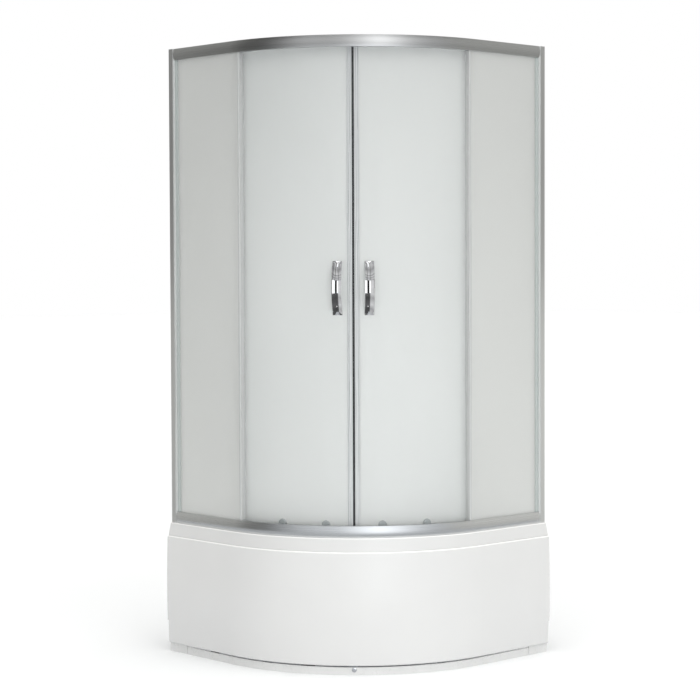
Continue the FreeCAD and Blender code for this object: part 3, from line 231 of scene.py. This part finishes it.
def frosted_glass(name, bright, dim):
    """Etched safety glass: milky, with a fine etched grain and a faint cloudiness."""
    paint = Paint(name, bright, roughness=0.55)
    paint.set("IOR", 1.5)
    paint.set("Transmission Weight", 0.5)
    cloud = paint.noise((1.6, 1.6, 0.7), detail=2.0)
    paint.feed("Base Color", paint.colours(cloud, dim, bright))
    paint.feed("Roughness", paint.between(paint.noise(even(260.0)), 0.46, 0.62))
    paint.bump(paint.noise(even(1800.0), detail=2.0), strength=0.18, distance=0.00008)
    return paint.material


def clear_vinyl(name, bright, dim, transmission):
    """Soft vinyl strip that lets some light through, with draw lines along its length."""
    paint = Paint(name, bright, roughness=0.3)
    paint.set("IOR", 1.53)
    paint.set("Transmission Weight", transmission)
    lines = paint.noise(STRIP_LINES, detail=2.0)
    paint.feed("Base Color", paint.colours(lines, dim, bright))
    paint.feed("Roughness", paint.between(lines, 0.22, 0.4))
    paint.bump(lines, strength=0.2, distance=0.00015)
    return paint.material


def polished_chrome(name):
    """Bright plating with a faint haze and fine wipe marks."""
    paint = Paint(name, (0.86, 0.87, 0.89), roughness=0.06, metallic=1.0)
    haze = paint.noise(even(45.0), detail=4.0, roughness=0.6, distortion=0.4)
    paint.feed("Base Color", paint.colours(haze, (0.78, 0.79, 0.81), (0.9, 0.905, 0.915)))
    paint.feed("Roughness", paint.between(haze, 0.03, 0.12))
    paint.bump(paint.noise(even(110.0), detail=2.0), strength=0.03, distance=0.0002)
    return paint.material


def galvanised(name):
    """Zinc-dipped steel with its spangle."""
    paint = Paint(name, (0.58, 0.6, 0.62), roughness=0.4, metallic=1.0)
    spangle = paint.cells(even(130.0))
    shade = paint.colours(spangle, (0.44, 0.46, 0.48), (0.66, 0.68, 0.7), start=0.1, end=0.9)
    paint.feed("Base Color", shade)
    paint.feed("Roughness", paint.between(spangle, 0.3, 0.55, start=0.1, end=0.9))
    paint.bump(paint.noise(even(300.0)), strength=0.2, distance=0.0002)
    return paint.material


def turned_steel(name, bright, dim):
    """Plated screw steel with turning marks."""
    paint = Paint(name, bright, roughness=0.3, metallic=1.0)
    marks = paint.noise(even(900.0), detail=2.0)
    paint.feed("Base Color", paint.colours(marks, dim, bright))
    paint.feed("Roughness", paint.between(marks, 0.2, 0.42))
    paint.bump(marks, strength=0.1, distance=0.00008)
    return paint.material


def threaded_steel(name):
    """Zinc-plated rod with a thread along its upright length, bumped in, with painted shade in its grooves."""
    paint = Paint(name, (0.6, 0.61, 0.63), roughness=0.35, metallic=1.0)
    thread = paint.bands(THREAD_PITCH)
    # Painted shade: the colour darkens into each groove of the thread
    shade = paint.colours(thread, (0.34, 0.35, 0.36), (0.66, 0.67, 0.69), start=0.1, end=0.9)
    paint.feed("Base Color", shade)
    paint.feed("Roughness", paint.between(paint.noise(even(400.0)), 0.28, 0.45))
    paint.bump(thread, strength=0.8, distance=0.0008)
    return paint.material


def rubber(name, bright, dim):
    """Black moulded rubber or rubber-bound magnet, dull and slightly dusty."""
    paint = Paint(name, bright, roughness=0.75)
    dust = paint.noise(even(60.0), detail=4.0)
    paint.feed("Base Color", paint.colours(dust, dim, bright))
    paint.feed("Roughness", paint.between(dust, 0.62, 0.88))
    paint.bump(paint.noise(even(700.0)), strength=0.3, distance=0.00015)
    return paint.material


# The finish of each material slot of the record: its bright and dim shades, then what else it needs
MATERIALS = {
    "tray_acrylic": acrylic("acrylic_tray", (0.655, 0.657, 0.657), (0.63, 0.632, 0.632)),
    "apron_acrylic": acrylic("acrylic_apron", (0.68, 0.682, 0.68), (0.66, 0.662, 0.662)),
    "plinth_plastic": moulded(
        "plastic_plinth", (0.69, 0.692, 0.69), (0.65, 0.652, 0.65), roughness=0.32, grain=500.0),
    "galvanised_steel": galvanised("steel_galvanised"),
    "black_plastic": moulded(
        "plastic_black", (0.035, 0.035, 0.036), (0.02, 0.02, 0.021), roughness=0.55, grain=700.0),
    "polished_chrome": polished_chrome("chrome_polished"),
    "white_plastic": moulded(
        "plastic_white", (0.82, 0.82, 0.8), (0.74, 0.74, 0.72), roughness=0.4, grain=450.0),
    "rail_aluminium": drawn_aluminium(
        "aluminium_rail", (0.755, 0.765, 0.772), (0.735, 0.745, 0.752), RAIL_LINES, roughness=0.28),
    "upright_aluminium": drawn_aluminium(
        "aluminium_upright", (0.84, 0.85, 0.852), (0.78, 0.79, 0.795), UPRIGHT_LINES, roughness=0.42),
    "track_aluminium": drawn_aluminium(
        "aluminium_track", (0.72, 0.73, 0.74), (0.6, 0.61, 0.62), TRACK_LINES, roughness=0.38),
    # The fixed panes' frosted glass is darker than the doors': painted shade
    "fixed_frosted_glass": frosted_glass("glass_fixed", (0.686, 0.697, 0.686), (0.657, 0.668, 0.658)),
    "door_frosted_glass": frosted_glass("glass_door", (0.783, 0.803, 0.798), (0.748, 0.77, 0.766)),
    "gasket_pvc": clear_vinyl(
        "vinyl_gasket", (0.675, 0.73, 0.72), (0.585, 0.645, 0.636), transmission=0.35),
    "seal_pvc": clear_vinyl(
        "vinyl_seal", (0.73, 0.75, 0.76), (0.65, 0.675, 0.69), transmission=0.45),
    "magnet_bar": rubber("magnet_strip", (0.03, 0.031, 0.035), (0.015, 0.0155, 0.0175)),
    "roller_plastic": moulded(
        "plastic_roller", (0.36, 0.39, 0.395), (0.3, 0.325, 0.33), roughness=0.4, grain=600.0),
    "wheel_nylon": moulded(
        "nylon_wheel", (0.8, 0.8, 0.76), (0.72, 0.72, 0.68), roughness=0.42, grain=800.0),
    "stop_rubber": rubber("rubber_stop", (0.05, 0.05, 0.05), (0.025, 0.025, 0.025)),
    "grey_plastic": moulded(
        "plastic_grey", (0.36, 0.36, 0.37), (0.28, 0.28, 0.29), roughness=0.5, grain=600.0),
    "screw_steel": turned_steel("steel_screw", (0.66, 0.66, 0.68), (0.5, 0.5, 0.52)),
    "handle_fixing_steel": turned_steel("steel_fixing", (0.74, 0.75, 0.76), (0.6, 0.61, 0.62)),
}


def paint_node(node, material):
    """Gives a node this one material."""
    nodes[node].data.materials.clear()
    nodes[node].data.materials.append(material)


for part in frame["record"]["subparts"]:
    paint_node(part["node"], MATERIALS[part["material_slot"]])

# The thin lips between the fixed panes and the doors are a little darker than the panes, as painted shade
thin_lip = clear_vinyl("vinyl_lip", (0.61, 0.621, 0.621), (0.586, 0.597, 0.597), transmission=0.25)
for side in SIDES:
    paint_node(side + "_fixed_seal", thin_lip)
    paint_node(side + "_rear_seal", thin_lip)

# The fixed panes and these lips let light through, so they cast no shadow on the doors behind them
for side in SIDES:
    for clear in ("_fixed_glass", "_fixed_seal", "_rear_seal"):
        nodes[side + clear].visible_shadow = False

# The stiles have a paler satin finish than the wall profiles that they slide in
pale_stile = drawn_aluminium(
    "aluminium_stile", (0.74, 0.755, 0.75), (0.69, 0.705, 0.7), UPRIGHT_LINES, roughness=0.45, metallic=0.35)
for side in SIDES:
    paint_node(side + "_stile", pale_stile)

# The feet turn on threaded rods
paint_node("foot_rods", threaded_steel("steel_thread"))


# Handles: chrome bows with a crowned face, in place of the plain bows

# The bow, in metres: its back's distance from the front's centre line, half of its length and its rise
HANDLE_BASE = 0.514
HANDLE_HALF = 0.085
HANDLE_RISE = 0.035

# The finger opening behind the bow: half of its length, and its depth
HANDLE_OPENING = 0.070
HANDLE_FINGERS = 0.026

# Across the bow: half of its width, the rise of its crowned face and the flats at the edges of its back
HANDLE_HALF_WIDTH = 0.015
HANDLE_CROWN = 0.0062
HANDLE_EDGE = 0.0012

# Near the tips the crown and the flats take at most these shares of the bow's thickness
CROWN_SHARE = 0.75
EDGE_SHARE = 0.1

# Steps along the bow and across its face, and the share of the length that the steps span
HANDLE_STATIONS = 72
HANDLE_FACETS = 18
HANDLE_SPAN = 0.998

# Edges that turn by more than this many degrees stay sharp
SHARP_ANGLE = 38.0


def bow_height(place, half, rise):
    """How far a bow of this half length and rise stands out at a place along it."""
    radius = (half * half + rise * rise) / (2 * rise)
    return math.sqrt(radius * radius - place * place) - (radius - rise)


def handle_section(back, front):
    """Outline of the bow across its length, as (sideways, outwards): a flat back and a crowned face."""
    crown = min(HANDLE_CROWN, CROWN_SHARE * (front - back))
    edge = min(HANDLE_EDGE, EDGE_SHARE * (front - back))
    points = [(-HANDLE_HALF_WIDTH + edge, back), (-HANDLE_HALF_WIDTH, back + edge)]
    for i in range(HANDLE_FACETS + 1):
        across = 2.0 * i / HANDLE_FACETS - 1.0
        points.append((across * HANDLE_HALF_WIDTH, front - crown * across * across))
    points += [(HANDLE_HALF_WIDTH, back + edge), (HANDLE_HALF_WIDTH - edge, back)]
    return points


def handle_sections():
    """Outlines from the lower to the upper tip, each with its place along the bow."""
    sections = []
    for i in range(HANDLE_STATIONS + 1):
        place = HANDLE_HALF * math.sin(math.pi * (i / HANDLE_STATIONS - 0.5)) * HANDLE_SPAN
        front = HANDLE_BASE + bow_height(place, HANDLE_HALF, HANDLE_RISE)
        back = HANDLE_BASE
        if abs(place) < HANDLE_OPENING:
            back += bow_height(place, HANDLE_OPENING, HANDLE_FINGERS)
        sections.append((place, handle_section(back, front)))
    return sections


def handle_faces(ring):
    """Faces over outlines of this many points: both tips, then the strips between neighbours."""
    faces = [list(range(ring))[::-1], [HANDLE_STATIONS * ring + k for k in range(ring)]]
    for i in range(HANDLE_STATIONS):
        for k in range(ring):
            here = i * ring + k
            along = i * ring + (k + 1) % ring
            faces.append([here, along, along + ring, here + ring])
    return faces


def crowned_handle(name, node, body):
    """A chrome bow that takes the place of a plain one and moves with its door."""
    low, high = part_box(node)
    middle = (Vector(low) + Vector(high)) / 2
    outwards = Vector((middle.x - FRONT_CENTRE.x, middle.y - FRONT_CENTRE.y, 0.0)).normalized()
    sideways = Vector((-outwards.y, outwards.x, 0.0))
    sections = handle_sections()
    verts = []
    for place, section in sections:
        for across, out in section:
            at = FRONT_CENTRE + outwards * out + sideways * across
            verts.append((at.x, at.y, middle.z + place))
    mesh = bpy.data.meshes.new(name)
    mesh.from_pydata(verts, [], handle_faces(len(verts) // len(sections)))
    mesh.shade_smooth()
    mesh.set_sharp_from_angle(angle=math.radians(SHARP_ANGLE))
    mesh.materials.append(MATERIALS["polished_chrome"])
    handle = placed(name, mesh)
    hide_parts(node)
    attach(handle, body)


for side in SIDES:
    crowned_handle("crowned_handle_" + side, side + "_handle", side + "_door")


# Floor

FLOOR_HALF = 40.0
floor_mesh = bpy.data.meshes.new("floor")
corners = [(-FLOOR_HALF, -FLOOR_HALF, 0), (FLOOR_HALF, -FLOOR_HALF, 0),
           (FLOOR_HALF, FLOOR_HALF, 0), (-FLOOR_HALF, FLOOR_HALF, 0)]
floor_mesh.from_pydata(corners, [], [(0, 1, 2, 3)])
floor_mesh.materials.append(Paint("floor_white", (0.955, 0.967, 0.98), roughness=0.8).material)
floor = placed("floor", floor_mesh)


# Camera: its place in metres, its turns in degrees, its lens and sensor in millimetres

CAMERA_PLACE = Vector((4.7688, -4.4824, 1.2736))
CORNER_DIAGONAL = 45.0
CAMERA_YAW = 1.9755
CAMERA_PITCH = 2.3523
CAMERA_ROLL = -0.22
CAMERA_LENS = 101.82
CAMERA_SENSOR = 36.0
CAMERA_REACH = 200.0


def turned_along(thing, direction):
    """Turns a light or camera so that it looks along a direction."""
    thing.rotation_mode = "QUATERNION"
    thing.rotation_quaternion = direction.to_track_quat("-Z", "Y")


camera_data = bpy.data.cameras.new("camera")
camera_data.sensor_width = CAMERA_SENSOR
camera_data.lens = CAMERA_LENS
camera_data.clip_end = CAMERA_REACH
camera = placed("camera", camera_data)
bpy.context.scene.camera = camera
heading = math.radians(CORNER_DIAGONAL + CAMERA_YAW)
to_camera = Vector((math.sin(heading), -math.cos(heading), 0.0))
pitch = math.radians(CAMERA_PITCH)
forward = -to_camera * math.cos(pitch) - Vector((0, 0, math.sin(pitch)))
camera.location = CAMERA_PLACE
turned_along(camera, forward)
roll = Quaternion((0.0, 0.0, 1.0), math.radians(CAMERA_ROLL))
camera.rotation_quaternion = camera.rotation_quaternion @ roll


# Lights

NEUTRAL = (1.0, 1.0, 1.0)
COOL = (0.955, 0.985, 1.02)
WARM = (1.0, 0.995, 0.95)
KEY_TINT = (0.965, 0.985, 1.0)
CEILING_TINT = (1.0, 0.987, 0.94)

# How much bluer than grey the studio is
STUDIO_BLUE = 1.01

# Where the front lies on the way from the studio's left to its right
STUDIO_FRONT = 0.55

# The studio brightens overhead between these upright parts of a direction
OVERHEAD_START = 0.25
OVERHEAD_END = 0.8


def towards(angle):
    """A level direction, as an angle to the right of the direction from the object to the camera."""
    turned = math.radians(angle)
    right = Vector((-to_camera.y, to_camera.x, 0.0))
    return to_camera * math.cos(turned) + right * math.sin(turned)


def softbox(name, angle, distance, height, width, tall, power, aim_height, colour):
    """A soft light that is aimed at a height on the object's middle line and shows in no reflection."""
    data = bpy.data.lights.new(name, "AREA")
    data.color = colour
    data.shape = "RECTANGLE"
    data.size = width
    data.size_y = tall
    data.energy = power
    light = placed(name, data)
    light.location = towards(angle) * distance + Vector((0, 0, height))
    turned_along(light, Vector((0, 0, aim_height)) - light.location)
    light.visible_camera = False
    light.visible_glossy = False


def ceiling_light(strength, angle, lean, spread, colour):
    """A broad, even light from above, leaning towards a level direction."""
    data = bpy.data.lights.new("ceiling", "SUN")
    data.color = colour
    data.energy = strength
    data.angle = math.radians(spread)
    tilt = math.radians(lean)
    shine = -towards(angle) * math.sin(tilt) - Vector((0, 0, math.cos(tilt)))
    turned_along(placed("ceiling", data), shine)


def studio_grey(level):
    """A slightly blue grey of this brightness."""
    return (level, level, level * STUDIO_BLUE, 1.0)


def studio_axes(tree):
    """Directions turned to a fixed heading: X to the right of the front view and Z up."""
    place = tree.nodes.new("ShaderNodeTexCoord")
    turn = tree.nodes.new("ShaderNodeMapping")
    turn.vector_type = "VECTOR"
    turn.inputs["Rotation"].default_value = (0.0, 0.0, -heading)
    tree.links.new(place.outputs["Generated"], turn.inputs["Vector"])
    axes = tree.nodes.new("ShaderNodeSeparateXYZ")
    tree.links.new(turn.outputs["Vector"], axes.inputs["Vector"])
    return axes.outputs


def studio_sweep(tree, sideways, left, front, right):
    """Greys from the studio's left through its front to its right."""
    sweep = tree.nodes.new("ShaderNodeMapRange")
    sweep.inputs["From Min"].default_value = -1.0
    tree.links.new(sideways, sweep.inputs["Value"])
    ramp = tree.nodes.new("ShaderNodeValToRGB")
    ramp.color_ramp.elements[0].color = studio_grey(left)
    ramp.color_ramp.elements[1].color = studio_grey(right)
    ramp.color_ramp.elements.new(STUDIO_FRONT).color = studio_grey(front)
    tree.links.new(sweep.outputs["Result"], ramp.inputs["Fac"])
    return ramp.outputs["Color"]


def studio_rise(tree, upright, overhead):
    """Brightness that grows from 1 near the horizon to its overhead level."""
    rise = tree.nodes.new("ShaderNodeMapRange")
    rise.inputs["From Min"].default_value = OVERHEAD_START
    rise.inputs["From Max"].default_value = OVERHEAD_END
    rise.inputs["To Min"].default_value = 1.0
    rise.inputs["To Max"].default_value = overhead
    tree.links.new(upright, rise.inputs["Value"])
    return rise.outputs["Result"]


def studio(left, front, right, overhead, seen):
    """White behind the object; what lights and reflections find is grey, darker on the left."""
    world = bpy.data.worlds.new("studio")
    bpy.context.scene.world = world
    world.use_nodes = True
    tree = world.node_tree
    axes = studio_axes(tree)
    lit = tree.nodes["Background"]
    tree.links.new(studio_sweep(tree, axes["X"], left, front, right), lit.inputs["Color"])
    tree.links.new(studio_rise(tree, axes["Z"], overhead), lit.inputs["Strength"])
    backdrop = tree.nodes.new("ShaderNodeBackground")
    backdrop.inputs["Color"].default_value = (seen, seen, seen, 1.0)
    rays = tree.nodes.new("ShaderNodeLightPath")
    both = tree.nodes.new("ShaderNodeMixShader")
    tree.links.new(rays.outputs["Is Camera Ray"], both.inputs["Fac"])
    tree.links.new(lit.outputs["Background"], both.inputs[1])
    tree.links.new(backdrop.outputs["Background"], both.inputs[2])
    tree.links.new(both.outputs["Shader"], tree.nodes["World Output"].inputs["Surface"])


softbox("key", angle=14.0, distance=3.2, height=0.5, width=1.1, tall=1.4,
        power=18.0, aim_height=0.75, colour=KEY_TINT)
softbox("left_fill", angle=-62.0, distance=2.4, height=0.22, width=1.6, tall=0.4,
        power=2.6, aim_height=0.3, colour=NEUTRAL)
softbox("right_fill", angle=62.0, distance=2.4, height=0.25, width=1.6, tall=0.4,
        power=1.4, aim_height=0.35, colour=NEUTRAL)
ceiling_light(strength=2.1, angle=15.0, lean=25.0, spread=110.0, colour=CEILING_TINT)
studio(left=0.2, front=0.38, right=0.33, overhead=1.8, seen=1.0)


# Studio cards that show only in reflections

# Degrees between the corners of a card
CARD_STEP = 1.0

# The angles between which the surroundings count as the front
FRONT_START = -64
FRONT_END = 60


def reflector(name, verts, faces, glow, colour):
    """A studio card that shows only in reflections; glow is its brightness at each corner."""
    mesh = bpy.data.meshes.new(name)
    mesh.from_pydata(verts, [], faces)
    levels = mesh.attributes.new("glow", "FLOAT", "POINT")
    for level, value in zip(levels.data, glow):
        level.value = value
    card = placed(name, mesh)
    card.visible_camera = False
    card.visible_diffuse = False
    card.visible_transmission = False
    card.visible_shadow = False
    material = bpy.data.materials.new(name)
    material.use_nodes = True
    tree = material.node_tree
    tree.nodes.remove(tree.nodes["Principled BSDF"])
    shine = tree.nodes.new("ShaderNodeEmission")
    shine.inputs["Color"].default_value = (*colour, 1.0)
    strength = tree.nodes.new("ShaderNodeAttribute")
    strength.attribute_name = "glow"
    tree.links.new(strength.outputs["Fac"], shine.inputs["Strength"])
    tree.links.new(shine.outputs["Emission"], tree.nodes["Material Output"].inputs["Surface"])
    mesh.materials.append(material)


def glow_at(angle, levels):
    """Brightness at an angle, between the nearest two of the (angle, brightness) levels."""
    for (start, low), (end, high) in zip(levels, levels[1:]):
        if start <= angle <= end:
            return low + (high - low) * (angle - start) / (end - start)
    return levels[-1][1]


def upright_rows(radius, steps):
    """Rows of an upright card; steps holds (height, share of the brightness) from its foot up."""
    return [(radius, height, share) for height, share in steps]


def curved_card(name, rows, levels, colour=NEUTRAL):
    """A card round the object: rows holds (radius, height, share of the brightness) from its foot up."""
    start = levels[0][0]
    end = levels[-1][0]
    count = round((end - start) / CARD_STEP)
    verts = []
    glow = []
    for i in range(count + 1):
        angle = start + (end - start) * i / count
        for radius, height, share in rows:
            verts.append(towards(angle) * radius + Vector((0, 0, height)))
            glow.append(glow_at(angle, levels) * share)
    tall = len(rows)
    faces = []
    for i in range(count):
        for k in range(tall - 1):
            foot = i * tall + k
            faces.append((foot, foot + tall, foot + tall + 1, foot + 1))
    reflector(name, verts, faces, glow, colour)


def surround(name, rows, levels, colour):
    """Cards all round the object: warm at both sides and of the given colour in front."""
    left = [level for level in levels if level[0] <= FRONT_START]
    front = [level for level in levels if FRONT_START <= level[0] <= FRONT_END]
    right = [level for level in levels if level[0] >= FRONT_END]
    curved_card(name + "_left", rows, left, WARM)
    curved_card(name + "_front", rows, front, colour)
    curved_card(name + "_right", rows, right, WARM)


# Surroundings: their brightness by angle to the right of the camera, and how it changes with height
SURROUND_RADIUS = 1.75
LOW_SURROUND = [(-180, 0.34), (-110, 0.38), (-93, 0.31), (-80, 0.12), (-64, 0.085), (-50, 0.25),
                (-36, 0.39), (-12, 0.47), (2, 0.84), (13, 1.08), (24, 0.86), (34, 0.55), (46, 0.39),
                (60, 0.33), (82, 0.39), (110, 0.48), (180, 0.34)]
HIGH_SURROUND = [(-180, 0.33), (-110, 0.33), (-94, 0.26), (-84, 0.1), (-64, 0.05), (-50, 0.21),
                 (-36, 0.49), (-12, 0.43), (2, 0.82), (14, 1.45), (22, 1.08), (34, 0.58), (46, 0.4),
                 (60, 0.33), (90, 0.35), (110, 0.45), (180, 0.33)]
LOW_STEPS = [(0.01, 1.2), (0.26, 1.3), (0.42, 1.5), (1.0, 1.5), (1.2, 1.45)]
HIGH_STEPS = [(1.2, 0.8), (1.7, 0.8), (2.1, 1.0), (2.7, 1.0), (3.2, 0.65), (4.0, 0.5)]
surround("reflector_low", upright_rows(SURROUND_RADIUS, LOW_STEPS), LOW_SURROUND, COOL)
surround("reflector_high", upright_rows(SURROUND_RADIUS, HIGH_STEPS), HIGH_SURROUND, NEUTRAL)

# A near card that brightens the upper edge of the bottom rail
RAIL_GLOW = [(-60, 0.2), (-50, 0.35), (-36, 0.6), (-12, 0.75), (2, 1.2), (13, 1.4), (24, 1.15),
             (40, 0.65), (60, 0.45)]
RAIL_GLOW_ROWS = [(0.9, 0.72, 1.0), (0.9, 0.99, 1.0)]
curved_card("rail_glow", RAIL_GLOW_ROWS, RAIL_GLOW, COOL)

# White panels with a dark gap between them, at the height of the handles
PANELS = [(-66, 1.4), (-29, 1.4), (-26, 0.01), (-4, 0.01), (-1, 1.4), (12, 1.4), (15, 0.75), (60, 0.62)]
PANEL_ROWS = [(1.0, 1.02, 1.0), (1.0, 1.5, 1.0)]
curved_card("handle_panels", PANEL_ROWS, PANELS)

# Mottled grey above the handles, with a glint
ABOVE = [(-80, 0.3), (-46, 0.3), (-38, 0.75), (-30, 0.2), (-20, 0.35), (-12, 0.8), (-5, 0.2), (3, 0.7),
         (12, 0.25), (22, 0.5), (70, 0.5)]
ABOVE_ROWS = [(0.8, 1.41, 0.6), (0.8, 1.45, 1.3), (0.8, 1.49, 0.7), (0.8, 1.53, 1.4), (0.8, 1.57, 0.6),
              (0.8, 1.62, 1.3), (0.66, 1.7, 0.7), (0.5, 1.76, 1.2), (0.42, 1.79, 0.8)]
GLINT = [(-14, 1.4), (-3, 1.4)]
GLINT_ROWS = [(0.55, 1.725, 1.0), (0.45, 1.765, 1.0)]
curved_card("handle_shade_above", ABOVE_ROWS, ABOVE)
curved_card("handle_glint", GLINT_ROWS, GLINT)

# Dark below the handles, with a gleam
BELOW = [(-80, 0.12), (-12, 0.09), (6, 0.11), (12, 0.6), (70, 0.56)]
BELOW_ROWS = [(0.47, 0.64, 0.9), (0.56, 0.72, 0.7), (0.66, 0.8, 1.2), (0.8, 0.95, 0.7), (0.8, 1.081, 1.2)]
GLEAM = [(-20, 0.75), (-6, 0.75)]
GLEAM_ROWS = [(0.6, 0.757, 1.0), (0.625, 0.777, 1.0)]
curved_card("handle_shade_below", BELOW_ROWS, BELOW)
curved_card("handle_gleam", GLEAM_ROWS, GLEAM)

# A disc just above the floor, which the undersides reflect
GROUND_RADIUS = 1.74
GROUND_HEIGHT = 0.004
GROUND_STEP = 10
GROUND_GLOW = 0.5
ground = []
for angle in range(0, 360, GROUND_STEP):
    ground.append(towards(angle) * GROUND_RADIUS + Vector((0, 0, GROUND_HEIGHT)))
reflector("ground_reflector", ground, [list(range(len(ground)))], [GROUND_GLOW] * len(ground), COOL)

bpy.context.scene.view_settings.view_transform = "Standard"
